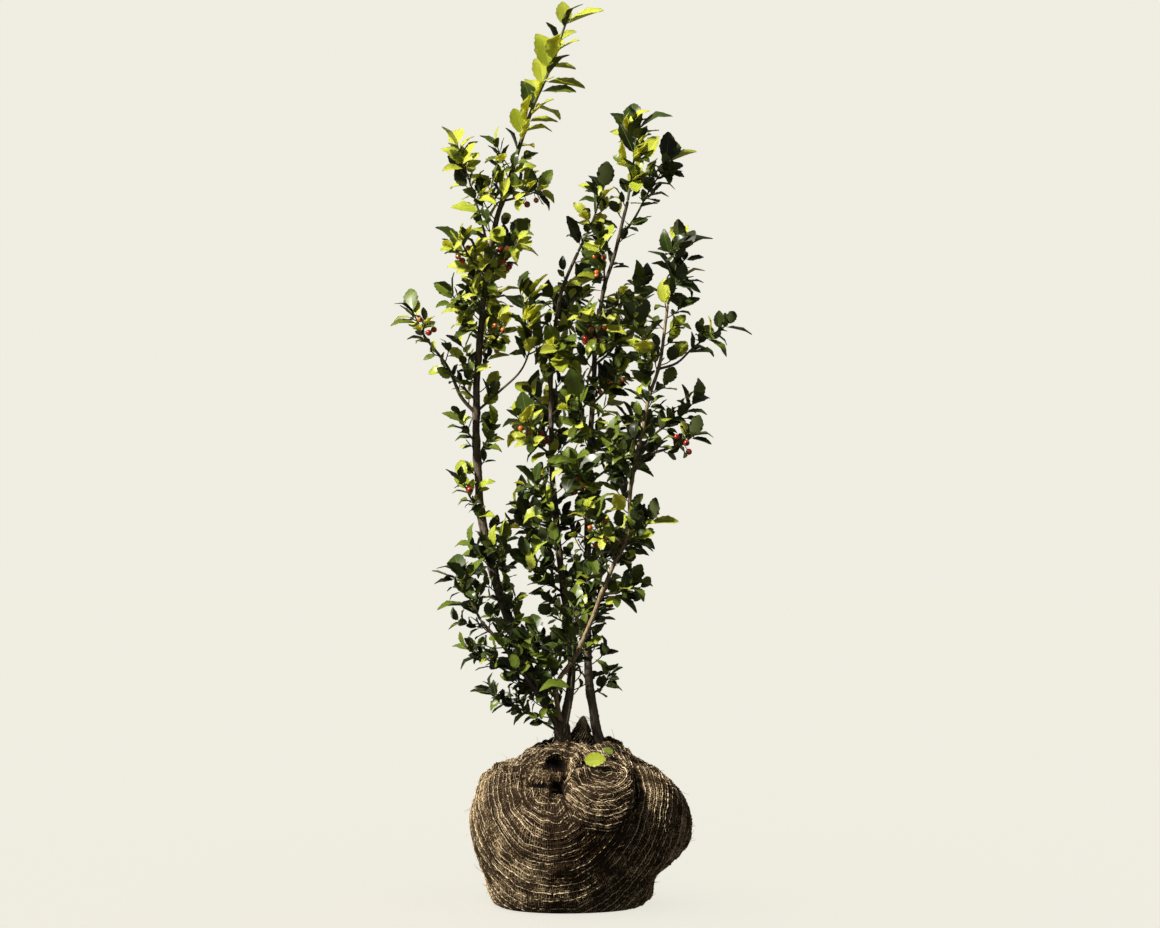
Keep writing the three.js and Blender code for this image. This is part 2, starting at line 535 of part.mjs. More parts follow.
// The cloth draws the ball out of round: broad lobes low down, gathers towards the tie at the top.
function ballSwell(angle, height) {
  const share = height / BALL_TOP;
  const lobes = BALL_LOBE * Math.sin(2 * angle + 0.7) + 0.7 * BALL_LOBE * Math.sin(3 * angle + 2);
  const gathers = BALL_LOBE * Math.max(0, share - 0.6) * Math.sin(9 * angle);
  return 1 + lobes * Math.sin(Math.PI * Math.min(1, share + 0.25)) + gathers;
}

// The bunched rim round the stems stands higher in some places than in others.
function rimLift(angle) {
  return BALL_RIM_LIFT * (0.5 + 0.35 * Math.sin(3 * angle + 1) + 0.15 * Math.sin(7 * angle));
}

function ballBody() {
  const lathe = new THREE.LatheGeometry(ballProfile(), BALL_SIDES).rotateX(Math.PI / 2);
  const position = lathe.attributes.position;
  for (let i = 0; i < position.count; i++) {
    const [x, y, z] = [position.getX(i), position.getY(i), position.getZ(i)];
    const radius = Math.hypot(x, y);
    const angle = Math.atan2(y, x);
    if (z === BALL_TOP && radius < BALL_PAD_RADIUS + 1) continue;
    const swell = ballSwell(angle, z);
    const lean = radius && -BALL_LEAN * (1 - Math.sin(Math.PI * Math.min(1, z / BALL_TOP)));
    position.setXYZ(i, x * swell + lean, y * swell * BALL_DEPTH, z > BALL_TOP ? z + rimLift(angle) : z);
  }
  return solidOf(lathe);
}

// The tied corner of the cloth stands up between the two stools.
function clothEar() {
  const curve = curveThrough([[3, 12, BALL_TOP - 8], [2, 14, BALL_TOP + 20], [6, 15, BALL_TOP + EAR_HEIGHT]]);
  return solidOf(tubeGeometry(curve, (share) => lerp(EAR_RADIUS, EAR_RADIUS / 3, share), EAR_SIDES, 2));
}

function ballSolid() {
  return ballBody().add(clothEar());
}

// ---------------------------------------------------------------- assembly

function finish(name) {
  return new THREE.MeshStandardMaterial({ metalness: 0, ...FINISHES[name] });
}

function named(name, solid, finishName) {
  const mesh = new THREE.Mesh(geometryOf(solid), finish(finishName));
  mesh.name = name;
  return mesh;
}

const holly = new THREE.Group();
holly.name = "holly";

const limbs = growLimbs();
const masses = settleMasses(limbs);
const plant = { limbs, masses };

holly.add(named("root_ball", ballSolid(), "jute"));
for (const limb of limbs.values()) {
  holly.add(named(limb.name, limb.solid, limb.name.startsWith("front") ? "green_bark" : "bark"));
}
for (const mass of masses) {
  holly.add(named(mass.name, massSolid(mass, plant), mass.young ? "leaf_young" : "leaf_dark"));
}

export default holly;
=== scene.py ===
"""A young holly shrub on a root ball wrapped in jute cloth.

The limbs and the masses of foliage follow the same rows and the same growth rule as the solids that
they replace, with finer twigs and leaves of natural size. Lengths in the rows are millimetres;
every mesh is made in metres.
"""

import functools
import itertools
import json
import math
from collections import namedtuple

import bpy
import numpy as np
from bpy.props import (
    FloatProperty,
    FloatVectorProperty,
    IntProperty,
    PointerProperty,
)
from mathutils import Matrix, Vector, noise

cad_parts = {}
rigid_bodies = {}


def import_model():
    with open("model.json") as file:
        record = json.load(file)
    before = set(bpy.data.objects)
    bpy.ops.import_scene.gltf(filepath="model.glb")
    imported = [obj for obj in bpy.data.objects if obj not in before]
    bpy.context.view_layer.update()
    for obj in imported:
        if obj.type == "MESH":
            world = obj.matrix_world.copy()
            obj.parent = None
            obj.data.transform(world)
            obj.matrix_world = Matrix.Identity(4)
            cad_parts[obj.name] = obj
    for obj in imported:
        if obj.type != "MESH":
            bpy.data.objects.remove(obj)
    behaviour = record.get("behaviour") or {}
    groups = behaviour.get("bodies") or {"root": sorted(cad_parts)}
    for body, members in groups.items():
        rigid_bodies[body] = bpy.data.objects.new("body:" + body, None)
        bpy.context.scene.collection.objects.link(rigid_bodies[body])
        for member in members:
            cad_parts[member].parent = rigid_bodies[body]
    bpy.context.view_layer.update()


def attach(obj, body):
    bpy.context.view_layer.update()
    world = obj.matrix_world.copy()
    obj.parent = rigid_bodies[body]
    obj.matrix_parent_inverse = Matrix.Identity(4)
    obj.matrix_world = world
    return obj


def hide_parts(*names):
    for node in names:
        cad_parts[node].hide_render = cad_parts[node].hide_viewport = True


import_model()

bl_info = {
    "name": "Holly Shrub",
    "version": (1, 0, 0),
    "blender": (4, 5, 0),
    "location": "View3D > Sidebar > Holly",
    "description": "Builds a balled and wrapped holly shrub and the stage that it stands on",
    "category": "Add Mesh",
}

# ---- driving dimensions, in millimetres ----

MM = 0.001

BALL_TOP = 216  # height of the pad that the stems stand on
PAD_RADIUS = 44
BELLY_RADIUS = 153
BELLY_HEIGHT = 118
FOOT_RADIUS = 104
BALL_LEAN = 11  # how far the foot and the shoulder sit to the left of the belly
BALL_DEPTH = 0.95  # front to back as a share of side to side
BALL_LOBE = 0.035  # broad lobes round the ball, as a share of its radius
RIM_LIFT = 9  # how far the pad's rim stands up

SHOOT_RADIUS = 2.1
TWIG_RADIUS = 1.35
FINE_RADIUS = 0.9
TIP_RADIUS = 0.75
STALK_RADII = (0.55, 0.5)  # of a berry's stalk, at its foot and at the berry

TWIG_SPREAD = 0.9  # angle between a twig and its shoot, radians
TWIG_BARE = 0.25  # leafless share of a twig
TWIG_SHARE = 0.52  # lengths of twigs, of sprigs between them and of twiglets on them, as shares of
SPRIG_SHARE = 0.3  # the mass's reach
TWIGLET_SHARE = 0.26
TWIG_SIZES = (0.85, 1.1)  # shortest and longest against that share
SLIM_REACH = 31  # a mass has a twig for every REACH_PER_TWIG that it reaches beyond this
REACH_PER_TWIG = 9
MOST_TWIGS = 3
SPRIG_GAP = 17  # spacing of the sprigs along a shoot
TWIG_LAST = 0.92  # share of the shoot below its last twig
TWIG_RISE = 0.35  # how much the outer half of a twig turns up
TWIG_TRIES = 4  # a twig without room tries again, turned on by so much and shorter by so much
TWIG_TRY_TURN = 1.6
TWIG_TRY_SHRINK = 0.14

LONGEST_ON_TWIGS = 50  # a shoot with longer leaves than this is a whip, and carries them itself
WHIP_RADIUS = 3.3  # a whip is stouter, and its leaves stand closer together and closer to it
WHIP_TIP = 1.7
WHIP_GAP = 0.85
WHIP_SPREAD = 0.7

SPUR_SPREAD = 0.95
SPUR_BARE = 0.35
SPUR_OPEN = 0.45  # how strongly spurs turn to the open side

LEAF_SPREAD = 0.95  # angle between a leaf and its shoot, radians, and in the rosette at its tip
TIP_SPREAD = 0.6
TIP_GAP = 3.8  # spacing in the rosette
LEAF_LAST = 0.9  # share of the shoot below the rosette
LEAF_RISE = 0.12  # how much leaves point up, and how much they turn their faces up
LEAF_FACE_UP = 0.3
LEAF_TRIES = 5  # a leaf without room tries again, as a twig does
LEAF_TRY_TURN = 1.25
LEAF_TRY_SHRINK = 0.06
LEAF_SIZES = (0.62, 1.14)  # shortest and longest leaf against the mass's own, and likewise below
LEAF_SPREADS = (0.65, 1.45)
SUNNY_SIDE = (-0.52, -0.72, 0.46)  # direction that leaves turn their faces to
OLD_TO_SUN = (0, 1.125)  # how strongly they do
YOUNG_TO_SUN = (0.45, 1.8)
LEAF_WIDTH = 0.48  # as a share of the leaf's length
LEAF_KEEP = 4.2  # leaves keep their blades this far apart
COMMON_LEAF = 38  # shoots with longer leaves carry them further apart
YOUNG_GAP = 1.25  # and so do young shoots
OLD_LEAF_SCALE = 0.73  # leaves of twigs against the row's length, which is for its leading shoot
YOUNG_LEAF_SCALE = 0.84
DARK_LEAF_SCALE = 0.86  # leaves of twigs that are not pale

# Tints. Shares of pale leaves, and of leaves in the two greens next to them, on old and young shoots.
OLD_PALE = 0.13
YOUNG_PALE = 0.57
OLD_NEXT = (0.4, 0.62)
YOUNG_NEXT = (0.1, 0.4)
CROWN_HEIGHTS = (380, 980)  # between these heights old shoots turn paler, by up to HIGH_PALE
HIGH_PALE = 0.25
WHIP_HEIGHTS = (1000, 1060)  # and here the young ones, by up to WHIP_PALE
WHIP_PALE = 0.5
LOW_HEIGHTS = (320, 560)  # pale leaves grow fewer below, and mid green ones still lower
FOOT_HEIGHTS = (60, 340)
PAINTED_SHADE_SIDE = (-60, 130)  # painted shade: from where to where across the plant, towards its shaded right side, pale leaves grow fewer
PAINTED_SHADE_LOSS = 0.62
PAINTED_LIGHT_FACING = (0.2, 1.25)  # painted light and shade: share of the pale leaves that face away from the key light and into it
MOST_PALE = (0.58, 0.34)  # most pale leaves anywhere, and how many more on the whip

BERRY_RADIUS = 4.3
BERRY_STALK = 8.5
BERRY_FIRST = 0.3  # share of the shoot below its first berries
BERRY_TRIES = 8
CLUSTER_MOST = 3  # berries that leave a shoot at one place

LIMB_MARGIN = 2.0  # room that twigs and leaves leave round wood
OPEN_MARGIN = 3.5  # and beside an open stretch of it
BORDER = 0.01  # and between masses, as a share of their reach
BALL_HEADROOM = 22
BALL_SIDEROOM = 10

GOLDEN = math.pi * (3 - math.sqrt(5))
STEEP = 0.8  # a direction that rises more than this gets its sides from SIDEWAYS
CHANCE_STEPS = (12.9898, 78.233, 37.719, 53.117)
CHANCE_SCALE = 43758.5453

KEY_FROM = (-0.72, -0.43, 0.70)  # direction from the plant to the light, also used to paint light into the leaf tints

UP = np.array([0.0, 0.0, 1.0])
SIDEWAYS = np.array([1.0, 0.0, 0.0])
OPEN_SIDE = np.array([0.0, -1.0, 0.0])  # where berries and spurs show best
LIT_SIDE = np.array([-0.6, -0.8, 0.0])  # where young leaves stand closer to their shoot

# ---- limbs ----
# start and height: the limb that it leaves, and how high. way: points that its axis runs through.
# foot, tip: radius at either end. flare: whether its foot spreads into roots.

Limb = namedtuple("Limb", "name start height way foot tip flare", defaults=(False,))

LIMBS = [Limb(*row) for row in (
    ("stool_left", None, None, [(-24, 0, 216.3), (-25, 1, 236), (-24, 2, 256)], 9.5, 9, True),
    ("leader", "stool_left", 246, [(-50, 6, 286), (-84, 14, 356), (-133, 34, 510), (-147, 44, 690),
     (-140, 38, 804), (-123, 24, 935), (-91, 8, 1042)], 8, 3.3),
    ("mid_stem", "stool_left", 250, [(-16, 10, 286), (-12, 20, 356), (-28, 42, 475), (-41, 50, 664),
     (-38, 44, 787), (-21, 30, 874), (-2, 20, 915)], 6.4, 2.2),
    ("right_stem", None, None, [(29, 4, 216.3), (15, 12, 290), (11, 26, 365), (11, 46, 538),
     (17, 44, 689), (28, 30, 833), (52, 12, 924), (67, 0, 985)], 6.6, 2.2, True),
    ("front_stem", "stool_left", 240, [(-33, -15, 306), (-4, -27, 353), (17, -34, 402), (43, -40, 468),
     (67, -42, 521), (70, -42, 580), (84, -40, 650), (97, -36, 715)], 3.5, 2.5),
    ("front_fork", "front_stem", 712, [(112, -32, 760), (122, -30, 838)], 2.6, 2),
    ("left_high_bough", "leader", 686, [(-168, 34, 712), (-188, 24, 756), (-206, 16, 779)], 2.8, 1.9),
    ("low_left_bough", "stool_left", 234, [(-58, -24, 292), (-96, -42, 349), (-138, -48, 400)], 3.6, 2.1),
    ("right_low_bough", "front_stem", 607, [(94, -46, 628), (124, -48, 638)], 2.6, 1.8),
)]

# ---- masses of foliage ----
# limb and height: where the mass's shoot leaves its limb, or at the limb's tip without a height.
# way: points that the shoot runs through. reach: radius of the mass's own space round the leafy
# part of the shoot. leaf: leaf length. bare: leafless share of the shoot.

Mass = namedtuple("Mass", "name limb height way reach leaf bare berries young", defaults=(0.05, 0, False))

MASSES = [Mass(*row) for row in (
    ("leader_tip", "leader", None, [(-66, 5, 1116), (-44, 0, 1165), (-20, -4, 1232)],
     60, 56, 0.05, 0, True),
    ("left_spire", "leader", 912, [(-137, 20, 952), (-151, 12, 1000), (-172, 6, 1064)],
     47, 44, 0.35, 0, True),
    ("leader_right", "leader", 985, [(-76, 2, 992), (-54, -8, 1000)], 40, 36, 0.3, 3, True),
    ("leader_left_upper", "leader", 884, [(-150, 10, 900), (-170, -5, 932)], 49, 42, 0.15, 2, True),
    ("leader_right_upper", "leader", 886, [(-104, 12, 902), (-84, -4, 936)], 49, 40, 0.15, 2),
    ("leader_back", "leader", 790, [(-135, 84, 826), (-122, 112, 892)], 69, 42, 0.25),
    ("leader_left_mid", "leader", 796, [(-158, 24, 816), (-180, 12, 856)], 49, 38, 0.15),
    ("leader_mid_right", "leader", 766, [(-120, 15, 794), (-104, -2, 822)], 47, 40, 0.2, 3),
    ("left_tuft", "left_high_bough", None, [(-222, 12, 802), (-234, 8, 830)], 43, 38, 0.1, 2),
    ("inner_tuft", "leader", 690, [(-114, 36, 718), (-80, 18, 752), (-68, 2, 800), (-84, -6, 858)],
     54, 48, 0.5, 0, True),
    ("leader_low_left", "leader", 646, [(-158, 32, 660), (-170, 26, 684)], 34, 34, 0.2),
    ("leader_low_right", "leader", 622, [(-133, 30, 646), (-121, 20, 668)], 34, 38, 0.2),
    ("leader_foot_left", "leader", 548, [(-154, 30, 568), (-166, 22, 596)], 38, 34, 0.2, 2),
    ("leader_base", "leader", 466, [(-112, 8, 484), (-104, -6, 510)], 38, 48, 0.2),
    ("low_left_tuft", "low_left_bough", None, [(-152, -46, 428), (-164, -40, 462)], 56, 46),
    ("low_left_tips", "leader", 300, [(-96, -4, 322), (-134, -12, 346), (-162, -14, 362)], 38, 36, 0.5),
    ("left_skirt", "stool_left", 238, [(-64, -2, 262), (-94, -8, 280), (-130, -16, 304)], 47, 36, 0.4),
    ("low_centre_left", "leader", 326, [(-66, -26, 350), (-56, -62, 384)], 63, 40, 0.2),
    ("low_front", "stool_left", 228, [(-14, -48, 276), (-10, -88, 346), (-8, -104, 424)], 69, 42, 0.4),
    ("low_back", "right_stem", 372, [(16, 78, 404), (4, 112, 464)], 74, 42, 0.2),
    ("stool_sprig", "right_stem", 292, [(32, 2, 304), (42, -6, 326)], 34, 30, 0.2),
    ("centre_left_low", "mid_stem", 434, [(-54, 24, 456), (-76, 6, 492)], 58, 40, 0.15),
    ("centre_left", "mid_stem", 542, [(-50, 20, 560), (-62, -6, 592)], 54, 38, 0.15),
    ("centre_left_high", "mid_stem", 628, [(-58, 28, 644), (-74, 4, 676)], 58, 42, 0.15, 3),
    ("mid_core", "mid_stem", 738, [(-34, 6, 758), (-26, -38, 790)], 60, 42, 0.2),
    ("mid_tip", "mid_stem", None, [(18, 10, 958), (36, 4, 1010)], 47, 42, 0.05, 0, True),
    ("mid_back_upper", "mid_stem", 800, [(-20, 86, 828), (0, 118, 876)], 65, 42, 0.2),
    ("mid_back", "mid_stem", 640, [(-52, 96, 664), (-62, 156, 716)], 72, 48, 0.2),
    ("mid_back_low", "mid_stem", 490, [(-56, 84, 514), (-82, 128, 562)], 74, 42, 0.2),
    ("right_crown", "right_stem", None, [(74, -2, 1030), (80, -5, 1088)], 54, 48, 0.05, 0, True),
    ("right_crown_side", "right_stem", 930, [(76, 12, 960), (94, 14, 994), (126, 14, 1044)], 45, 44, 0.4),
    ("right_upper", "right_stem", 862, [(34, -6, 888), (34, -26, 930)], 52, 38, 0.15, 2, True),
    ("right_mid_out", "right_stem", 828, [(58, 14, 842), (88, 2, 868)], 49, 42, 0.2),
    ("right_mid_core", "right_stem", 774, [(20, -14, 794), (14, -50, 824)], 56, 40, 0.2, 3),
    ("right_core", "right_stem", 700, [(38, 12, 722), (58, -8, 754)], 54, 42, 0.2, 2),
    ("core_front_upper", "right_stem", 650, [(6, 0, 674), (-2, -44, 706)], 60, 42, 0.2),
    ("core_front", "right_stem", 562, [(2, 0, 586), (-8, -48, 618)], 60, 42, 0.2, 3),
    ("right_back_upper", "right_stem", 756, [(48, 78, 782), (72, 106, 832)], 65, 42, 0.2),
    ("right_back", "right_stem", 590, [(48, 92, 618), (80, 140, 676)], 69, 46, 0.2),
    ("right_back_low", "right_stem", 470, [(52, 74, 494), (84, 96, 540)], 67, 40, 0.2),
    ("front_inner", "front_stem", None, [(90, -48, 762), (82, -58, 814)], 47, 46),
    ("right_spire", "front_fork", None, [(131, -30, 876), (139, -32, 922)], 52, 48, 0.05, 0, True),
    ("right_tip", "front_fork", 748, [(134, -34, 756), (160, -30, 780), (206, -28, 810)], 38, 38, 0.4),
    ("right_wing_upper", "front_stem", 640, [(112, -30, 664), (140, -26, 682), (160, -26, 704)],
     45, 38, 0.35),
    ("right_wing", "right_low_bough", None, [(142, -50, 644), (160, -50, 658)], 38, 34, 0.05, 1),
    ("front_side", "front_stem", 592, [(58, -66, 614), (44, -82, 650)], 56, 40, 0.2),
    ("front_low_right", "front_stem", 506, [(82, -50, 518), (98, -56, 540)], 45, 38, 0.15, 0, True),
    ("front_low_in", "front_stem", 484, [(36, -62, 508), (22, -80, 544)], 58, 40, 0.15, 3),
    ("front_base_right", "front_stem", 436, [(54, -36, 438), (74, -38, 454)], 47, 40, 0.15),
)]

# Short leafy spurs straight on the limbs between the masses: from which height to which, how far
# apart, the shortest and longest spur, and how long their leaves are.
Spurs = namedtuple("Spurs", "limb low high gap shortest longest leaf")

SPURS = [
    Spurs("leader", 262, 500, 7, 14, 40, 32),
    Spurs("leader", 500, 690, 22, 10, 24, 30),
    Spurs("leader", 690, 1040, 7.5, 16, 46, 33),
    Spurs("mid_stem", 280, 520, 7.5, 14, 44, 32),
    Spurs("mid_stem", 520, 780, 10, 14, 40, 31),
    Spurs("mid_stem", 780, 915, 22, 10, 22, 34),
    Spurs("right_stem", 330, 520, 8, 14, 42, 32),
    Spurs("right_stem", 520, 800, 10, 14, 40, 32),
    Spurs("right_stem", 800, 985, 17, 10, 30, 34),
    Spurs("front_stem", 306, 430, 36, 8, 16, 28),
    Spurs("front_stem", 430, 715, 10, 12, 30, 33),
    Spurs("front_fork", 712, 838, 13, 10, 24, 36),
    Spurs("low_left_bough", 245, 400, 8, 14, 38, 29),
    Spurs("left_high_bough", 690, 779, 16, 10, 24, 30),
    Spurs("right_low_bough", 607, 638, 14, 10, 20, 30),
]

# Stretches of limb that no leaf hides from the front: the limb, and from which height to which.
OPEN_STRETCHES = [
    ("stool_left", 220, 256),
    ("leader", 600, 665), ("leader", 700, 735), ("leader", 955, 985),
    ("mid_stem", 256, 320), ("mid_stem", 665, 725), ("mid_stem", 820, 900),
    ("right_stem", 226, 335), ("right_stem", 672, 690), ("right_stem", 850, 930),
    ("front_stem", 322, 520), ("front_stem", 570, 600), ("front_stem", 650, 700),
    ("front_fork", 740, 800),
]

# ---- small tools ----


def chance(*keys):
    """A repeatable number from 0 to 1 for a few whole numbers."""
    mixed = sum((key + 1) * step for key, step in zip(keys, CHANCE_STEPS))
    wave = math.sin(mixed) * CHANCE_SCALE
    return wave - math.floor(wave)


def lerp(low, high, share):
    return low + (high - low) * share


def unit(vector):
    return vector / max(np.linalg.norm(vector), 1e-9)


def smooth(low, high, value):
    """0 below low, 1 above high, and an even rise between."""
    share = np.clip((value - low) / (high - low), 0, 1)
    return share * share * (3 - 2 * share)


def noise_at(points, size, seed=0):
    """Smooth noise from -1 to 1 at an array of points, with waves about as long as size."""
    shift = Vector((seed * 7.31, seed * 3.17, seed * 5.73))
    flat = np.asarray(points, float).reshape(-1, 3) / size
    found = [noise.noise(Vector(p) + shift) for p in flat]
    return np.array(found).reshape(np.shape(points)[:-1])


class Path:
    """A smooth curve through points, read by shares of its length."""

    DIVISIONS = 200  # steps in which its length is measured
    LEVELS = 401  # places among which a height is looked up

    def __init__(self, points):
        self.points = np.array(points, float)
        self.table = np.linspace(0, 1, self.DIVISIONS + 1)
        steps = np.linalg.norm(np.diff(self._laid(self.table), axis=0), axis=1)
        self.lengths = np.concatenate([[0], np.cumsum(steps)])
        self.length = self.lengths[-1]

    def _laid(self, spots):
        """Centripetal Catmull-Rom points."""
        p = self.points
        padded = np.vstack([2 * p[0] - p[1], p, 2 * p[-1] - p[-2]])
        place = np.clip(spots, 0, 1) * (len(p) - 1)
        first = np.minimum(place.astype(int), len(p) - 2)
        w = (place - first)[:, None]
        a, b, c, d = (padded[first + k] for k in range(4))
        ab, bc, cd = (np.sqrt(np.linalg.norm(y - x, axis=1))[:, None] for x, y in ((a, b), (b, c), (c, d)))
        leave = ((b - a) / ab - (c - a) / (ab + bc) + (c - b) / bc) * bc
        arrive = ((c - b) / bc - (d - b) / (bc + cd) + (d - c) / cd) * bc
        square, cube = 3 * (c - b) - 2 * leave - arrive, 2 * (b - c) + leave + arrive
        return b + leave * w + square * w**2 + cube * w**3

    def at(self, share):
        shares = np.atleast_1d(np.asarray(share, float))
        found = self._laid(np.interp(shares * self.length, self.lengths, self.table))
        return found if np.ndim(share) else found[0]

    def tangent(self, share):
        spot = float(np.interp(share * self.length, self.lengths, self.table))
        low, high = max(spot - 1e-4, 0), min(spot + 1e-4, 1)
        ends = self._laid(np.array([low, high]))
        return unit(ends[1] - ends[0])

    def share_at(self, height):
        """Where a rising curve is nearest to a height, or its tip without one."""
        if height is None:
            return 1.0
        shares = np.linspace(0, 1, self.LEVELS)
        return shares[np.argmin(np.abs(self.at(shares)[:, 2] - height))]

    def at_height(self, height):
        return self.at(self.share_at(height))


def cross_axes(tangent):
    """Two directions square to a tangent, the same for the same tangent."""
    reference = SIDEWAYS if abs(tangent[2]) > STEEP else UP
    side = unit(np.cross(tangent, reference))
    return side, np.cross(side, tangent)


def radial_at(tangent, turn):
    side, other = cross_axes(tangent)
    return side * math.cos(turn) + other * math.sin(turn)


# ---- the skeleton ----

Shoot = namedtuple("Shoot", "path foot tip bare key")
Leaf = namedtuple("Leaf", "root along face length kind tint")
Berry = namedtuple("Berry", "root middle ripeness")
Growth = namedtuple("Growth", "limb mass shoots leaves berries")  # mass: its name, or None for spurs


def limb_radius(limb, length, share):
    flare = 0.45 * np.exp(-share * length / 16) if limb.flare else 0
    return lerp(limb.foot, limb.tip, share**0.8) * (1 + flare)


@functools.cache
def limb_paths():
    paths = {}
    for limb in LIMBS:
        start = [paths[limb.start].at_height(limb.height)] if limb.start else []
        paths[limb.name] = Path([*start, *limb.way])
    return paths


@functools.cache
def limb_samples():
    """Points every 5 mm along the limbs, and the limb's radius and its name for each."""
    points, radii, names = [], [], []
    for limb in LIMBS:
        path = limb_paths()[limb.name]
        shares = np.linspace(0, 1, math.ceil(path.length / 5) + 1)
        points.append(path.at(shares))
        radii.append(limb_radius(limb, path.length, shares))
        names += [limb.name] * len(shares)
    return np.vstack(points), np.concatenate(radii), np.array(names)


@functools.cache
def mass_paths():
    return [Path([limb_paths()[mass.limb].at_height(mass.height), *mass.way]) for mass in MASSES]


@functools.cache
def mass_spaces():
    """Axis points of every mass with the row each starts at, their reaches, and the bare stalks."""
    axes, stalks = [], []
    for mass, path in zip(MASSES, mass_paths()):
        points = path.at(np.linspace(0, 1, 41))
        split = round(mass.bare * 40)
        stalks.append(points[:split])
        axes.append(points[split:])
    starts = np.cumsum([0] + [len(axis) for axis in axes[:-1]])
    reaches = np.array([mass.reach for mass in MASSES], float)
    return np.vstack(axes), starts, reaches, stalks


def is_own(points, index):
    """True where points lie within a mass's reach and nearer to it than to any other mass."""
    axes, starts, reaches, _ = mass_spaces()
    gaps = np.linalg.norm(points[:, None] - axes[None], axis=2)
    shares = np.minimum.reduceat(gaps, starts, axis=1) / reaches
    own = shares[:, index]
    others = np.delete(shares, index, axis=1).min(axis=1)
    return bool(np.all((own <= 1) & (others > own + BORDER)))


def is_near(points, others, gap):
    """True where any of the points lies closer to any of the others than the gap."""
    return np.any(np.linalg.norm(points[:, None] - others[None], axis=2) < gap)


def is_clear_of_wood(points, index):
    wood, radii, _ = limb_samples()
    stalks = [stalk for other, stalk in enumerate(mass_spaces()[3]) if other != index and len(stalk)]
    return not (is_near(points, wood, radii + LIMB_MARGIN)
                or any(is_near(points, stalk, SHOOT_RADIUS + LIMB_MARGIN) for stalk in stalks))


def is_clear_of_ball(points):
    outside = np.hypot(points[:, 0], points[:, 1]) > BELLY_RADIUS + BALL_SIDEROOM
    return bool(np.all((points[:, 2] > BALL_TOP + BALL_HEADROOM) | outside))


@functools.cache
def open_samples():
    """The points and radii of the stretches of limb that stay open to the front."""
    points, radii, names = limb_samples()
    kept = np.zeros(len(points), bool)
    for name, low, high in OPEN_STRETCHES:
        kept |= (names == name) & (points[:, 2] > low) & (points[:, 2] < high)
    return points[kept], radii[kept]


def is_beside_open_wood(points):
    """True unless a point lies in front of one of the open stretches."""
    wood, radii = open_samples()
    gaps = np.hypot(points[:, None, 0] - wood[None, :, 0], points[:, None, 2] - wood[None, :, 2])
    ahead = points[:, None, 1] < wood[None, :, 1]
    return not np.any((gaps < radii + OPEN_MARGIN) & ahead)


def has_room(points, index):
    clear = is_clear_of_ball(points) and is_beside_open_wood(points)
    return clear and is_own(points, index) and is_clear_of_wood(points, index)


def bent_path(root, heading, length, bend):
    """A path that runs out straight and turns up after its bend, a share of its length."""
    middle = root + heading * length * bend
    return Path([root, middle, middle + unit(heading + UP * TWIG_RISE) * length * (1 - bend)])


def side_shoots(parent, index, count, share_of_reach, foot, first_key):
    """Twigs that leave a shoot turn by turn, each at the golden angle from the last."""
    mass, seed = MASSES[index], index + 1
    twigs = []
    for i in range(count):
        key = first_key + i
        share = lerp(parent.bare, TWIG_LAST, (i + 0.4) / count)
        root, tangent = parent.path.at(share), parent.path.tangent(share)
        longest = mass.reach * share_of_reach * lerp(*TWIG_SIZES, chance(seed, key, 2))
        for attempt in range(TWIG_TRIES):
            radial = radial_at(tangent, key * GOLDEN + chance(seed, key, 1) * 2 + attempt * TWIG_TRY_TURN)
            heading = tangent * math.cos(TWIG_SPREAD) + radial * math.sin(TWIG_SPREAD)
            path = bent_path(root, heading, longest * (1 - TWIG_TRY_SHRINK * attempt), 0.5)
            if has_room(path.points[1:], index):
                twigs.append(Shoot(path, foot, TIP_RADIUS, TWIG_BARE, key + 1))
                break
    return twigs


def shoots_of(index):
    """The mass's own shoot, its twigs, and the finer twigs between and on them."""
    mass, path = MASSES[index], mass_paths()[index]
    if mass.leaf > LONGEST_ON_TWIGS:
        return [Shoot(path, WHIP_RADIUS, WHIP_TIP, mass.bare, 0)]
    leading = Shoot(path, SHOOT_RADIUS, TIP_RADIUS, mass.bare, 0)
    count = int(np.clip(round((mass.reach - SLIM_REACH) / REACH_PER_TWIG), 0, MOST_TWIGS))
    twigs = side_shoots(leading, index, count, TWIG_SHARE, TWIG_RADIUS, 0)
    between = round(path.length * (1 - mass.bare) / SPRIG_GAP)
    sprigs = side_shoots(leading, index, between, SPRIG_SHARE, FINE_RADIUS, 10)
    twiglets = []
    for number, twig in enumerate(twigs):
        twiglets += side_shoots(twig, index, 2, TWIGLET_SHARE, FINE_RADIUS, 40 + 10 * number)
    return [leading, *twigs, *sprigs, *twiglets]


class Room:
    """Where blades already are, in cells as wide as the distance that they keep."""

    NEAR = list(itertools.product((-1, 0, 1), repeat=3))

    def __init__(self, keep):
        self.keep, self.cells = keep, {}

    def cell(self, point):
        return tuple(int(math.floor(value / self.keep)) for value in point)

    def is_free(self, points):
        for point in points:
            i, j, k = self.cell(point)
            for di, dj, dk in self.NEAR:
                for other in self.cells.get((i + di, j + dj, k + dk), ()):
                    if math.dist(point, other) < self.keep:
                        return False
        return True

    def take(self, points):
        for point in points:
            self.cells.setdefault(self.cell(point), []).append(point)


# Points that stand for a leaf when its room is tested, as shares of its length along and across.
LEAF_PROBES = np.array(
    [(0.35, -0.35), (0.35, 0.35), (0.58, -0.5), (0.58, 0), (0.58, 0.5), (0.8, -0.3), (0.8, 0.3), (1, 0)]
)


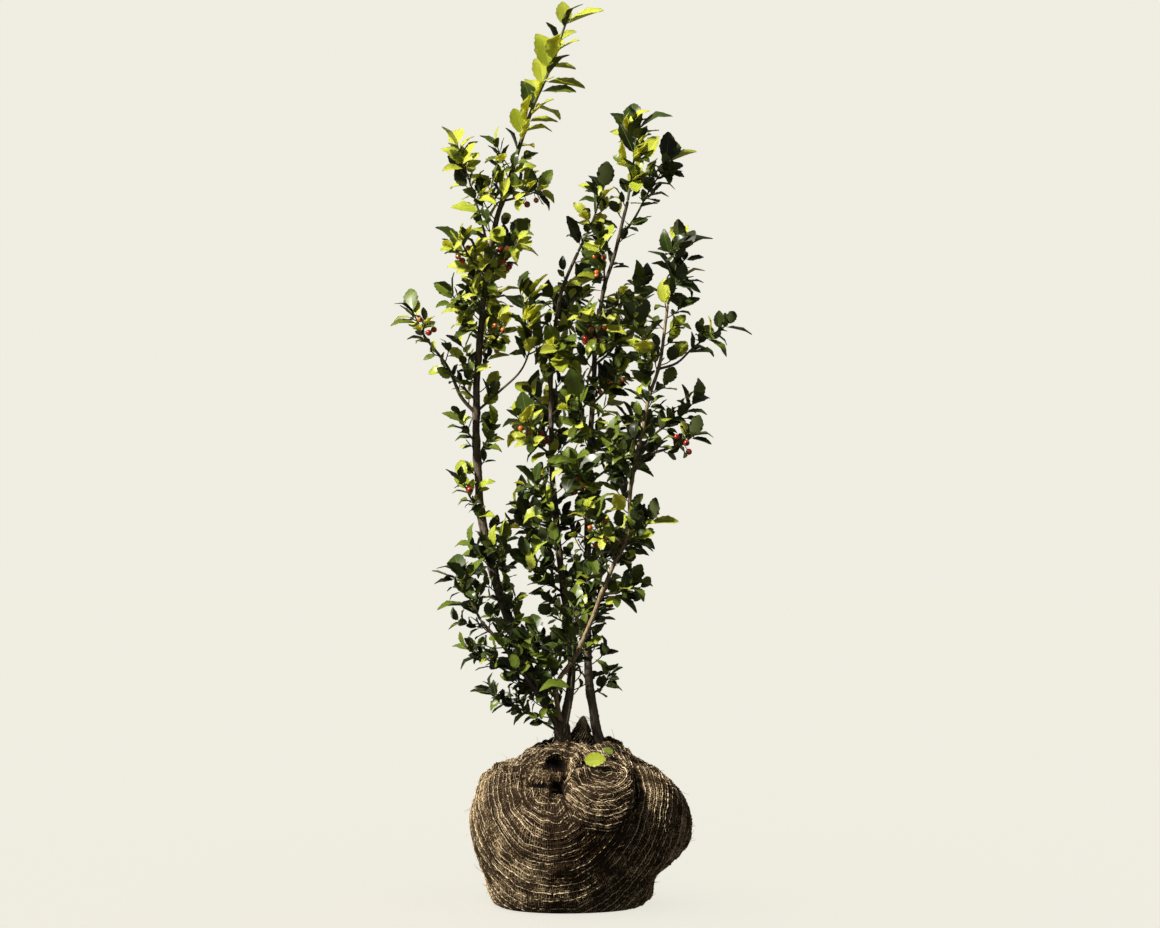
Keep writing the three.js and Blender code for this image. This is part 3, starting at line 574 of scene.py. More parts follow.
def leaf_places(shoot, gap, leaf):
    """Where leaves stand on a shoot, as (share of its length, spread): along it, then a rosette."""
    is_whip = leaf > LONGEST_ON_TWIGS
    spacing = gap * (WHIP_GAP if is_whip else max(1, leaf / COMMON_LEAF) ** 0.8)
    count = max(1, round(shoot.path.length * (1 - shoot.bare) / spacing))
    spread = WHIP_SPREAD if is_whip else LEAF_SPREAD
    along = [(lerp(shoot.bare, LEAF_LAST, (i + 0.3) / count), spread) for i in range(count)]
    last = 3 if shoot.key == 0 else 2
    rosette = [(1 - (1 + TIP_GAP * (last - 1 - i)) / shoot.path.length, TIP_SPREAD) for i in range(last)]
    return [*along, *rosette]


def leaf_tint(is_young, root, face, draw):
    """0 deepest green to 4 yellow-green: palest on young shoots and high up; paler where a leaf faces the key
    light and darker on the plant's shaded right side, which is painted light and shade.
    """
    high, on_whip = smooth(*CROWN_HEIGHTS, root[2]), smooth(*WHIP_HEIGHTS, root[2])
    pale = YOUNG_PALE + WHIP_PALE * on_whip if is_young else OLD_PALE + HIGH_PALE * high
    # Painted shade: fewer pale leaves towards the plant's shaded right side.
    pale *= 1 - PAINTED_SHADE_LOSS * smooth(*PAINTED_SHADE_SIDE, root[0])
    # Painted light: leaves that face the key light are dealt paler tints, and those turned away from it
    # darker ones.
    pale *= lerp(*PAINTED_LIGHT_FACING, smooth(0.0, 0.7, np.dot(face, unit(np.array(KEY_FROM)))))
    pale = min(pale, MOST_PALE[0] + MOST_PALE[1] * on_whip) * smooth(*LOW_HEIGHTS, root[2])
    mid, dark = YOUNG_NEXT if is_young else OLD_NEXT
    tops = (pale * lerp(0.25, 0.75, high), pale, pale + mid * smooth(*FOOT_HEIGHTS, root[2]), pale + dark)
    return next((4 - step for step, top in enumerate(tops) if draw < top), 0)


def leaf_on(shoot, share, tilt, keys, length, is_young, room, fits):
    """A leaf at its golden-angle turn, or at the next turn that has room, or None.

    keys: the seeds of the mass or spur, the shoot and the leaf, which settle every draw.
    """
    seed, shoot_key, key = keys
    root, tangent = shoot.path.at(share), shoot.path.tangent(share)
    length *= lerp(*LEAF_SIZES, chance(*keys, 5))
    wide = spread = tilt * lerp(*LEAF_SPREADS, chance(*keys, 6))
    sunny = np.array(SUNNY_SIDE) * lerp(*(YOUNG_TO_SUN if is_young else OLD_TO_SUN), chance(*keys, 7))
    for attempt in range(LEAF_TRIES):
        turn = key * GOLDEN + chance(seed, shoot_key, 4) * 6 + attempt * LEAF_TRY_TURN
        radial = radial_at(tangent, turn)
        if is_young:
            spread = wide * (1.1 - 0.55 * np.dot(radial, LIT_SIDE))
        along = unit(tangent * math.cos(spread) + radial * math.sin(spread) + UP * LEAF_RISE)
        face = tangent * math.sin(spread) - radial * math.cos(spread) + UP * LEAF_FACE_UP + sunny
        across = unit(np.cross(face, along))
        face = np.cross(along, across)
        tint = leaf_tint(is_young, root, face, chance(*keys, 9))
        size = length * (1 - LEAF_TRY_SHRINK * attempt)
        if tint < 3 and shoot_key:
            size *= DARK_LEAF_SCALE
        probes = root + size * (LEAF_PROBES[:, :1] * along + LEAF_PROBES[:, 1:] * LEAF_WIDTH * across)
        if room.is_free(probes) and fits(probes):
            room.take(probes)
            return Leaf(root, along, face, size, int(chance(*keys, 8) * LEAF_KINDS), tint)
    return None


def leaves_on(shoot, seed, gap, length, is_young, room, fits):
    found = [
        leaf_on(shoot, share, tilt, (seed, shoot.key, key), length, is_young, room, fits)
        for key, (share, tilt) in enumerate(leaf_places(shoot, gap, length))
    ]
    return [leaf for leaf in found if leaf]


def spurs_on(row, number, gap, scale, room):
    """Short shoots with a few leaves, at the golden angle round a limb."""
    path = limb_paths()[row.limb]
    first, last = path.share_at(row.low), path.share_at(row.high)
    count = round((last - first) * path.length / row.gap)
    shoots, leaves = [], []

    def fits(points):
        return is_clear_of_ball(points) and is_beside_open_wood(points) and is_clear_of_wood(points, None)

    for i in range(count):
        seed = 100 + 70 * number + i
        share = lerp(first, last, (i + 0.8 * chance(seed, 1)) / count)
        root, tangent = path.at(share), path.tangent(share)
        radial = unit(radial_at(tangent, i * GOLDEN + 3 * chance(seed, 2)) + OPEN_SIDE * SPUR_OPEN)
        length = lerp(row.shortest, row.longest, chance(seed, 3))
        heading = unit(tangent * math.cos(SPUR_SPREAD) + radial * math.sin(SPUR_SPREAD))
        shoot = Shoot(bent_path(root, heading, length, 0.55), FINE_RADIUS, TIP_RADIUS, SPUR_BARE, 20)
        grown = leaves_on(shoot, seed, gap, row.leaf * scale, False, room, fits)
        if grown:
            shoots.append(shoot)
            leaves += grown
    return shoots, leaves


def berries_on(shoot, number, index, room):
    """A cluster of stalked berries at one place of a shoot, on its open side."""
    mass, seed = MASSES[index], index + 1
    share = lerp(max(mass.bare, BERRY_FIRST), LEAF_LAST, (number + 0.5) / mass.berries)
    tangent, found = shoot.path.tangent(share), []
    for berry in range(1 + int(chance(seed, number, 12) * CLUSTER_MOST)):
        root = shoot.path.at(share - 0.6 * BERRY_RADIUS * berry / shoot.path.length)
        stalk = BERRY_STALK * lerp(0.7, 1.5, chance(seed, number, berry))
        for attempt in range(BERRY_TRIES):
            radial = radial_at(tangent, number * GOLDEN + berry * 1.9 + attempt * 0.8)
            radial = unit(radial + OPEN_SIDE * 0.6)
            away = unit(radial + UP * (0.5 * chance(seed, number, berry, 13) - 0.4))
            middle = root + away * (BERRY_RADIUS + stalk)
            skin = middle + BERRY_RADIUS * np.array([away, -away, radial_at(away, 0), -radial_at(away, 0)])
            if radial[1] < 0.5 and room.is_free(skin) and has_room(skin, index):
                room.take(skin)
                found.append(Berry(root, middle, chance(seed, number, 11) * 0.8 + 0.2 * chance(berry, seed)))
                break
    return found


@functools.cache
def grown_plant(gap, scale):
    """Every mass grown, and then the spurs of every limb: shoots, leaves and berries."""
    plant, room = [], Room(LEAF_KEEP)
    for index, mass in enumerate(MASSES):
        shoots = shoots_of(index)
        fits = functools.partial(has_room, index=index)
        on_twigs = YOUNG_LEAF_SCALE if mass.young else OLD_LEAF_SCALE
        spacing = gap * (YOUNG_GAP if mass.young else 1)
        leaves, berries = [], []
        for number in range(mass.berries):
            berries += berries_on(shoots[0], number, index, room)
        for shoot in shoots:
            size = mass.leaf * scale * (on_twigs if shoot.key else 1)
            leaves += leaves_on(shoot, index + 1, spacing, size, mass.young, room, fits)
        plant.append(Growth(mass.limb, mass.name, shoots, leaves, berries))
    for number, row in enumerate(SPURS):
        plant.append(Growth(row.limb, None, *spurs_on(row, number, gap, scale, room), []))
    return plant


# ---- node trees ----


class Wire:
    """The value on a socket of a node tree. Arithmetic on it adds Math nodes to the tree."""

    def __init__(self, tree, socket):
        self.tree, self.socket = tree, socket

    def math(self, operation, *others):
        return self.tree.wire("ShaderNodeMath", {"operation": operation}, dict(enumerate((self, *others))))

    def __add__(self, other):
        return self.math("ADD", other)

    def __mul__(self, other):
        return self.math("MULTIPLY", other)

    def __sub__(self, other):
        return self.math("SUBTRACT", other)

    def __rsub__(self, other):
        return self.tree.wire("ShaderNodeMath", {"operation": "SUBTRACT"}, {0: other, 1: self})

    def between(self, low, high):
        """0 below low and 1 above high with an even rise between, or the reverse where low is above high."""
        settings = {"interpolation_type": "SMOOTHSTEP", "clamp": True}
        values = {"Value": self, "From Min": min(low, high), "From Max": max(low, high)}
        made = self.tree.wire("ShaderNodeMapRange", settings, values)
        return 1 - made if low > high else made


class Tree:
    """A node tree under construction."""

    def __init__(self, tree):
        self.tree = tree

    def node(self, kind, settings=None, inputs=None):
        """A node with its settings made first, and then its inputs set or linked by name or number."""
        made = self.tree.nodes.new(kind)
        for name, value in (settings or {}).items():
            setattr(made, name, value)
        for key, value in (inputs or {}).items():
            socket = made.inputs[key] if isinstance(key, int) else self.find(made.inputs, key)
            if isinstance(value, Wire):
                self.tree.links.new(value.socket, socket)
            else:
                socket.default_value = value
        return made

    @staticmethod
    def find(sockets, key):
        exact = [socket for socket in sockets if socket.identifier == key]
        named = [socket for socket in sockets if socket.name == key and socket.enabled]
        return (exact or named)[0]

    def wire(self, kind, settings=None, inputs=None, output=None):
        """One output of a new node: the first, or the one of that name."""
        outputs = self.node(kind, settings, inputs).outputs
        shown = next(socket for socket in outputs if socket.enabled)
        return Wire(self, self.find(outputs, output) if output else shown)


# ---- finishes ----


def finish(inputs_of):
    """Turns a function that gives a Principled shader's inputs into one that gives its material."""

    def made(name, *values):
        material = bpy.data.materials.new(name)
        material.use_nodes = True
        material.node_tree.nodes.clear()
        tree = Tree(material.node_tree)
        principled = tree.wire("ShaderNodeBsdfPrincipled", None, inputs_of(tree, *values))
        tree.node("ShaderNodeOutputMaterial", None, {"Surface": principled})
        return material

    return made


def opaque(colour):
    return (*colour, 1)


def mixed(tree, share, low, high):
    """A colour between two others."""
    low, high = (colour if isinstance(colour, Wire) else opaque(colour) for colour in (low, high))
    values = {"Factor_Float": share, "A_Color": low, "B_Color": high}
    return tree.wire("ShaderNodeMix", {"data_type": "RGBA"}, values, "Result_Color")


def noise_of(tree, place, scale, detail=3.0, roughness=0.55):
    inputs = {"Vector": place, "Scale": scale, "Detail": detail, "Roughness": roughness}
    return tree.wire("ShaderNodeTexNoise", None, inputs, "Fac")


def stretched(tree, place, scale):
    return tree.wire("ShaderNodeMapping", None, {"Vector": place, "Scale": scale})


def bumped(tree, height, strength, distance):
    inputs = {"Height": height, "Strength": strength, "Distance": distance}
    return tree.wire("ShaderNodeBump", None, inputs)


def nearness(tree, place, spots):
    """1 in the middle of any of the spots and 0 outside them: each a middle and half sizes."""
    total = 0
    for middle, half in spots:
        scale = [1 / (MM * size) for size in half]
        inputs = {"Vector": place, "Scale": scale, "Location": [-MM * m * s for m, s in zip(middle, scale)]}
        away = tree.wire("ShaderNodeMapping", None, inputs)
        near = tree.wire("ShaderNodeVectorMath", {"operation": "LENGTH"}, {0: away}, "Value").between(1, 0.3)
        total = near.math("MAXIMUM", total)
    return total


def object_place(tree):
    return tree.wire("ShaderNodeTexCoord", None, None, "Object")


@finish
def leaf_finish(_, colour, roughness, glow):
    """Leaf tissue of one plain colour: glossy, and lit through where the light is behind it."""
    is_waxy = roughness < 0.4
    return {
        "Base Color": opaque(colour), "Roughness": roughness, "Specular IOR Level": 0.32,
        "Subsurface Weight": glow, "Subsurface Radius": (1.0, 0.9, 0.2), "Subsurface Scale": 0.0015,
        "Coat Weight": 0.16 if is_waxy else 0.0, "Coat Roughness": 0.3,
    }


@finish
def berry_finish(_, colour):
    return {"Base Color": opaque(colour), "Roughness": 0.22, "Coat Weight": 0.3}


@finish
def bark_finish(tree, dark, light, lichen):
    """Smooth thin bark with fine cracks along the stem, paler ridges and dull patches."""
    place = object_place(tree)
    streaks = noise_of(tree, stretched(tree, place, (1, 1, 0.22)), 520, 4, 0.65)
    patches = noise_of(tree, place, 38, 2)
    flecks = noise_of(tree, stretched(tree, place, (0.5, 0.5, 1)), 900, 2)
    base = mixed(tree, streaks.between(0.36, 0.66), dark, light)
    return {
        "Base Color": mixed(tree, patches.between(0.48, 0.7) * 0.55, base, lichen),
        "Roughness": streaks.between(0.2, 0.8) * 0.25 + 0.6,
        "Normal": bumped(tree, streaks * 0.7 + flecks * 0.3, 0.6, 0.0012),
    }


@finish
def twig_finish(tree, brown, green):
    """Young bark, brown with green patches."""
    patches = noise_of(tree, object_place(tree), 45, 2)
    return {"Base Color": mixed(tree, patches.between(0.4, 0.62), brown, green), "Roughness": 0.55}


# Places of the cloth that are painted darker, as their middles and half sizes: the pits beside the left
# stool, painted near-black as their shade, and the middle of the front, where the threads are darker.
PAINTED_SHADE_PITS = [((-34, -70, 202), (19, 60, 10)), ((-31, -90, 177), (10, 60, 7)), ((-52, -95, 176), (22, 60, 4))]
DARKER_FRONT = [((-2, -150, 100), (70, 70, 52))]
WORN_THROUGH = ((-8, -150, 104), (62, 70, 44))  # where threads are missing, most of all in its middle


@finish
def soil_and_shade_cloth_finish(tree, colours):
    """Moist soil that shows through the net, with crumbs and matted fibre, and near-black painted shade in
    the pits.
    """
    body = object_place(tree)
    crumbs = noise_of(tree, body, 420, 4, 0.7)
    fibre = noise_of(tree, stretched(tree, body, (1, 1, 0.4)), 700, 3, 0.7)
    matted = noise_of(tree, body, 34, 3)
    soil = mixed(tree, crumbs.between(0.4, 0.72), colours.soil, colours.soil_light)
    mats = fibre.between(0.5, 0.68) * matted.between(0.35, 0.6) * 0.9
    shade = mixed(tree, mats, soil, colours.straw_matted)
    return {
        # Painted shade: near-black in the pits and creases beside the left stool.
        "Base Color": mixed(tree, nearness(tree, body, PAINTED_SHADE_PITS), shade, colours.pit_shade),
        "Roughness": 1.0, "Specular IOR Level": 0.2, "Normal": bumped(tree, crumbs + fibre * 0.6, 1.0, 0.003),
    }


@finish
def yarn_finish(tree, dark, light, low, high):
    """Twisted jute, dirty in places, darker over the middle of the front, and painted darker in the pits as
    their shade: the higher low and high are, the more of it is dark.
    """
    body = object_place(tree)
    fibre = noise_of(tree, body, 330, 3, 0.75)
    dirt = noise_of(tree, body, 42, 3, 0.6)
    # Painted shade: the threads turn darker in the pits; they also turn a little darker over the middle of
    # the front.
    share = fibre * 0.55 + dirt * 0.45 - nearness(tree, body, DARKER_FRONT) * 0.09 - nearness(tree, body, PAINTED_SHADE_PITS) * 0.2
    return {
        "Base Color": mixed(tree, share.between(low, high), dark, light), "Roughness": 0.9,
        "Specular IOR Level": 0.2, "Normal": bumped(tree, fibre, 0.7, 0.0006),
    }


@finish
def floor_finish(_, colour, glow):
    return {
        "Base Color": opaque(colour), "Roughness": 1.0, "Specular IOR Level": 0.0,
        "Emission Color": opaque(colour), "Emission Strength": glow,
    }


# ---- meshes ----


def grid_faces(rows, columns):
    """Quads between the rows of a grid that is closed round each row."""
    row, column = np.meshgrid(np.arange(rows - 1), np.arange(columns), indexing="ij")
    here = (row * columns + column).ravel()
    beside = (row * columns + (column + 1) % columns).ravel()
    return [tuple(face) for face in np.column_stack([here, beside, beside + columns, here + columns])]


def end_faces(rows, columns):
    """The first and the last row of such a grid, as the faces that close a tube."""
    last = (rows - 1) * columns
    return [tuple(range(columns))[::-1], tuple(range(last, last + columns))]


def mesh_of(name, points, faces, material):
    """A smooth mesh in metres from points in millimetres."""
    mesh = bpy.data.meshes.new(name)
    mesh.from_pydata(np.asarray(points, float) * MM, [], [tuple(map(int, face)) for face in faces])
    mesh.materials.append(material)
    mesh.polygons.foreach_set("use_smooth", np.full(len(mesh.polygons), True))
    mesh.update()
    return mesh


def shown(name, mesh, slot, *nodes):
    """Puts a finished mesh in the scene as a piece of the shrub, in place of some of its solids."""
    mesh.name = name
    piece = bpy.data.objects.new(name, mesh)
    bpy.context.scene.collection.objects.link(piece)
    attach(piece, "root")
    if nodes:
        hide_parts(*nodes)


# ---- geometry node trees ----


# What the trees read from meshes.
ATTRIBUTES = dict(radius="FLOAT", turn="QUATERNION", size="FLOAT", kind="INT", tint="INT", part="INT")


def carry(mesh, name, values):
    """Gives a mesh one of the attributes, on its faces for a part and otherwise on its points."""
    kind = ATTRIBUTES[name]
    layer = mesh.attributes.new(name, kind, "FACE" if name == "part" else "POINT")
    layer.data.foreach_set("value", np.asarray(values, np.int32 if kind == "INT" else np.float32).ravel())


def attribute(tree, name):
    settings = {"data_type": ATTRIBUTES[name]}
    return tree.wire("GeometryNodeInputNamedAttribute", settings, {"Name": name}, "Attribute")


def geometry_tree(name, inputs):
    """A geometry tree with named inputs, given as (name, socket type, default)."""
    group = bpy.data.node_groups.new(name, "GeometryNodeTree")
    group.interface.new_socket("Geometry", in_out="INPUT", socket_type="NodeSocketGeometry")
    for label, kind, default in inputs:
        socket = group.interface.new_socket(label, in_out="INPUT", socket_type=kind)
        if default is not None:
            socket.default_value = default
    group.interface.new_socket("Geometry", in_out="OUTPUT", socket_type="NodeSocketGeometry")
    tree = Tree(group)
    entry = tree.node("NodeGroupInput")
    return tree, {socket.name: Wire(tree, socket) for socket in entry.outputs if socket.name}


def strand_tree():
    """Round strands along every line of points, as thick as the points' own radius says."""
    tree, given = geometry_tree("strands", [
        ("Sides", "NodeSocketInt", 5),
        ("Thickness", "NodeSocketFloat", 1.0),
        ("Material", "NodeSocketMaterial", None),
    ])
    lines = tree.wire("GeometryNodeMeshToCurve", None, {"Mesh": given["Geometry"]})
    ring = tree.wire("GeometryNodeCurvePrimitiveCircle", None, {"Resolution": given["Sides"], "Radius": 1.0})
    thick = attribute(tree, "radius") * given["Thickness"]
    inputs = {"Curve": lines, "Profile Curve": ring, "Scale": thick, "Fill Caps": True}
    tubes = tree.wire("GeometryNodeCurveToMesh", None, inputs)
    rounded = tree.wire("GeometryNodeSetShadeSmooth", None, {"Geometry": tubes, "Shade Smooth": True})
    real = tree.wire("GeometryNodeRealizeInstances", None, {"Geometry": rounded})
    dressed = tree.wire("GeometryNodeSetMaterial", None, {"Geometry": real, "Material": given["Material"]})
    tree.node("NodeGroupOutput", None, {"Geometry": dressed})
    return tree.tree


def scatter_tree(name, finishes):
    """Copies of the shapes in a collection at points, each turned, sized, picked and tinted by its point.

    finishes: rows of a material, the part that wears it, and the lowest and highest tint that do.
    """
    inputs = [("Shapes", "NodeSocketCollection", None), ("Size", "NodeSocketFloat", 1.0)]
    inputs += [(material.name, "NodeSocketMaterial", None) for material, *_ in finishes]
    tree, given = geometry_tree(name, inputs)
    shapes = tree.wire("GeometryNodeCollectionInfo", None, {
        "Collection": given["Shapes"], "Separate Children": True, "Reset Children": True,
    })
    points = tree.wire("GeometryNodeMeshToPoints", None, {"Mesh": given["Geometry"]})
    placed = tree.wire("GeometryNodeInstanceOnPoints", None, {
        "Points": points, "Instance": shapes,
        "Pick Instance": True, "Instance Index": attribute(tree, "kind"),
        "Rotation": attribute(tree, "turn"), "Scale": attribute(tree, "size") * given["Size"],
    })
    dressed = tree.wire("GeometryNodeRealizeInstances", None, {"Geometry": placed})
    part, tint = attribute(tree, "part"), attribute(tree, "tint")
    for material, worn, lowest, highest in finishes:
        is_part = (part - worn).math("COMPARE", 0.0, 0.5)
        is_tint = tint.math("GREATER_THAN", lowest - 0.5) * tint.math("LESS_THAN", highest + 0.5)
        dressed = tree.wire("GeometryNodeSetMaterial", None, {
            "Geometry": dressed, "Selection": is_part * is_tint, "Material": given[material.name],
        })
    tree.node("NodeGroupOutput", None, {"Geometry": dressed})
    return tree.tree


def grown_mesh(name, source, tree, values):
    """The plain mesh that a geometry tree makes of a source mesh."""
    carrier = bpy.data.objects.new(name, source)
    bpy.context.scene.collection.objects.link(carrier)
    modifier = carrier.modifiers.new("growth", "NODES")
    modifier.node_group = tree
    for item in tree.interface.items_tree:
        if item.in_out == "INPUT" and item.name in values:
            modifier[item.identifier] = values[item.name]
    evaluated = carrier.evaluated_get(bpy.context.evaluated_depsgraph_get())
    made = bpy.data.meshes.new_from_object(evaluated)
    carrier.modifiers.clear()
    bpy.data.objects.remove(carrier)
    for spare in [layer.name for layer in made.attributes if layer.name in ATTRIBUTES]:
        made.attributes.remove(made.attributes[spare])
    return made


def lines_mesh(name, lines):
    """Polylines of (points, radii) as a mesh of edges with a radius on every point."""
    points = np.vstack([line for line, _ in lines])
    radii = np.concatenate([radius for _, radius in lines])
    edges, first = [], 0
    for line, _ in lines:
        edges += [(first + i, first + i + 1) for i in range(len(line) - 1)]
        first += len(line)
    mesh = bpy.data.meshes.new(name)
    mesh.from_pydata(points * MM, edges, [])
    carry(mesh, "radius", radii * MM)
    return mesh


def strands(name, lines, material, sides=5):
    source = lines_mesh(name + "_lines", lines)
    return grown_mesh(name, source, strand_tree(), {"Sides": sides, "Thickness": 1.0, "Material": material})


def points_mesh(name, rows):
    """A mesh of loose points from rows of (place, along, face, size, kind, tint)."""
    places, alongs, faces, sizes, kinds, tints = zip(*rows)
    mesh = bpy.data.meshes.new(name)
    mesh.from_pydata(np.asarray(places, float) * MM, [], [])
    carry(mesh, "turn", [turn_of(along, face) for along, face in zip(alongs, faces)])
    carry(mesh, "size", np.asarray(sizes, np.float32) * MM)
    carry(mesh, "kind", kinds)
    carry(mesh, "tint", tints)
    return mesh


def scattered(name, rows, shapes, tree, finishes):
    """Copies of some shapes joined into one mesh, from rows as points_mesh takes them."""
    holder = bpy.data.collections.new(name + "_shapes")
    for number, shape in enumerate(shapes):
        holder.objects.link(bpy.data.objects.new(f"{name}_shape_{number:02d}", shape))
    materials = {material.name: material for material, *_ in finishes}
    points = points_mesh(name + "_points", rows)
    made = grown_mesh(name, points, tree, {"Shapes": holder, "Size": 1.0, **materials})
    for shape in list(holder.objects):
        bpy.data.objects.remove(shape)
    bpy.data.collections.remove(holder)
    return made


def turn_of(along, face):
    """The rotation that carries X to along and Z to face."""
    across = np.cross(face, along)
    return tuple(Matrix(np.column_stack([along, across, face]).tolist()).to_quaternion())


# ---- one leaf ----

# fold: rise of the edges over the midrib. arch: fall of the tip. hook: how sharply the tip turns down.
# twist: turn of the blade from base to tip, radians. wide: width as a share of the length.
LeafShape = namedtuple("LeafShape", "fold arch hook twist wide")

LEAF_SHAPES = [
    LeafShape(0.18, 0.05, 0.06, 0.15, 0.57),
    LeafShape(0.34, 0.10, 0.10, -0.35, 0.50),
    LeafShape(0.26, 0.14, 0.20, 0.30, 0.53),
    LeafShape(0.12, -0.06, 0.05, -0.10, 0.62),
    LeafShape(0.46, 0.08, 0.02, 0.60, 0.47),
]
LEAF_KINDS = len(LEAF_SHAPES)

LEAF_STATIONS = (0, 0.12, 0.31, 0.52, 0.72, 0.88, 1)  # shares of the blade that the teeth part
LEAF_STALK = 0.1  # share of the leaf's length
LEAF_DEPTH = 0.012
RIB_WIDTH = 0.014
NOTCH = 0.94  # half width at the stations, as a share of the full one
SPINE = 0.06  # how far a spine stands out, as a share of the half width there
SPINE_AT = 0.72  # share of the way from a station to the next at which it stands
SPINE_LIFT = 0.01  # spines stand up and down in turn
STALK_ENDS = ((-LEAF_STALK / (1 - LEAF_STALK), 0.016), (0.03, 0.012))  # place along the blade, radius
LEAF_SHARP = math.radians(50)  # edges with a larger angle stay sharp
TOP, RIB, UNDER, STALK = range(4)


def blade_half_width(share):
    """Half width of the blade along it, widest about the middle, with a short point at the tip."""
    return np.sin(math.pi * np.clip(share, 0, 1) ** 0.94) ** 0.55 * (1 - 0.3 * np.asarray(share) ** 6)


def part_mesh(name, points, faces, parts, sharp=None):
    """A smooth mesh one unit in size, whose faces know which part they belong to."""
    mesh = bpy.data.meshes.new(name)
    mesh.from_pydata(points, [], faces)
    carry(mesh, "part", parts)
    mesh.polygons.foreach_set("use_smooth", np.full(len(faces), True))
    if sharp:
        mesh.set_sharp_from_angle(angle=sharp)
    mesh.update()
    return mesh


def leaf_mesh(shape):
    """A spiny leaf one unit long along X: upper face with its rib, underside, and a short stalk."""
    points, faces, parts = [], [], []

    def add(along, across, lift=0.0):
        """Adds a place on the flat blade, carried to the folded, arched and twisted one."""
        drop = shape.arch * along**2 + shape.hook * smooth(0.68, 1.0, along) * along
        z = shape.fold * abs(across) + lift - drop
        turn = shape.twist * (along - 0.4)
        points.append((
            LEAF_STALK + along * (1 - LEAF_STALK),
            across * math.cos(turn) - z * math.sin(turn),
            across * math.sin(turn) + z * math.cos(turn),
        ))
        return len(points) - 1

    def face(part, side, *corners):
        faces.append(corners if side > 0 else corners[::-1])
        parts.append(part)

    shares, last = np.array(LEAF_STATIONS), len(LEAF_STATIONS) - 1
    widths = np.maximum(blade_half_width(shares) * shape.wide / 2, 0.012)
    widths[-1] = 0.004
    rib = [add(s, side * RIB_WIDTH / 2 * (1.15 - s)) for s in shares for side in (-1, 1)]
    under = [add(s, 0, -LEAF_DEPTH * 1.6) for s in shares]
    edge, spine = {}, {}
    for side in (-1, 1):
        edge[side] = [add(s, side * w * NOTCH) for s, w in zip(shares, widths)]
        spine[side] = []
        for i in range(last):
            s = lerp(shares[i], shares[i + 1], SPINE_AT)
            w = float(blade_half_width(np.array(s))) * shape.wide / 2
            spine[side].append(add(s, side * w * (1 + SPINE), SPINE_LIFT * (1 if i % 2 else -1)))
    for i in range(last):
        face(RIB, 1, rib[2 * i], rib[2 * i + 2], rib[2 * i + 3], rib[2 * i + 1])
        for side in (-1, 1):
            ribs = [rib[2 * k + (1 if side > 0 else 0)] for k in (i, i + 1)]
            outer, tip = edge[side], spine[side][i]
            face(TOP, side, ribs[0], ribs[1], outer[i + 1], tip, outer[i])
            face(UNDER, side, under[i], outer[i], tip, outer[i + 1], under[i + 1])
    for end, turned in ((0, 1), (last, -1)):
        face(UNDER, turned, edge[-1][end], rib[2 * end], rib[2 * end + 1], edge[1][end], under[end])
    stalk = []
    for along, radius in STALK_ENDS:
        for turn in range(3):
            angle = turn * math.tau / 3 + math.pi / 2
            stalk.append(add(along, radius * math.cos(angle), radius * math.sin(angle) - 0.006))
    for turn in range(3):
        following = (turn + 1) % 3
        face(STALK, 1, stalk[turn], stalk[following], stalk[3 + following], stalk[3 + turn])
    face(STALK, 1, stalk[2], stalk[1], stalk[0])
    face(STALK, 1, stalk[3], stalk[4], stalk[5])
    return part_mesh("leaf", points, faces, parts, LEAF_SHARP)


def berry_mesh():
    """One berry of unit radius with the dark scar of its flower at the lower end, along -Z."""
    rings, sides = 7, 10
    points, faces, parts = [(0, 0, -0.93)], [], []
    for ring in range(1, rings):
        angle = math.pi * ring / rings
        for side in range(sides):
            turn = math.tau * side / sides
            out = math.sin(angle)
            points.append((out * math.cos(turn), out * math.sin(turn), -math.cos(angle)))
    points.append((0, 0, 1))
    last = len(points) - 1
    for side in range(sides):
        following = (side + 1) % sides
        faces.append((0, 1 + following, 1 + side))
        for low in range(1, last - sides, sides):
            faces.append((low + side, low + following, low + sides + following, low + sides + side))
        faces.append((last, last - sides + side, last - sides + following))
        parts += [1] + [0] * (rings - 1)
    return part_mesh("berry", points, faces, parts)


# ---- limbs ----

LIMB_SIDES = 24
LIMB_STEP = 2.6  # length of one ring of bark
LIMB_STRAY = 1.6  # how far a limb's axis strays to either side, in bends about as long as this
BEND_SIZE = 46
COLLAR = 0.16  # swelling at a joint and at a limb's own foot, as shares of its radius there
FOOT_COLLAR = 0.4
RIDGE_HIGH = 0.07  # relief of the ridges, pores and rings, as shares of the radius
PORE_HIGH = 0.08
BAND_HIGH = 0.045
AGED = 0.9  # how much stronger the relief is at the foot of the stems


def carried_frames(points):
    """Two side directions along a line of points that turn no more than the line itself does."""
    tangents = np.gradient(points, axis=0)
    tangents /= np.linalg.norm(tangents, axis=1)[:, None]
    side = cross_axes(tangents[0])[0]
    sides = []
    for tangent in tangents:
        side = unit(side - tangent * np.dot(side, tangent))
        sides.append(side)
    return np.array(sides), np.cross(tangents, sides)


def joints_on(limb):
    """Shares of a limb's length at which shoots and limbs leave it."""
    heights = [row.height for row in MASSES if row.limb == limb.name and row.height]
    heights += [row.height for row in LIMBS if row.start == limb.name]
    return [limb_paths()[limb.name].share_at(height) for height in heights]


def rings_of(centres, sides, others, radii, turns):
    """The rings of points round a line, and their directions outwards."""
    around = np.cos(turns)[None, :, None] * sides[:, None] + np.sin(turns)[None, :, None] * others[:, None]
    return centres[:, None] + radii[..., None] * around, around


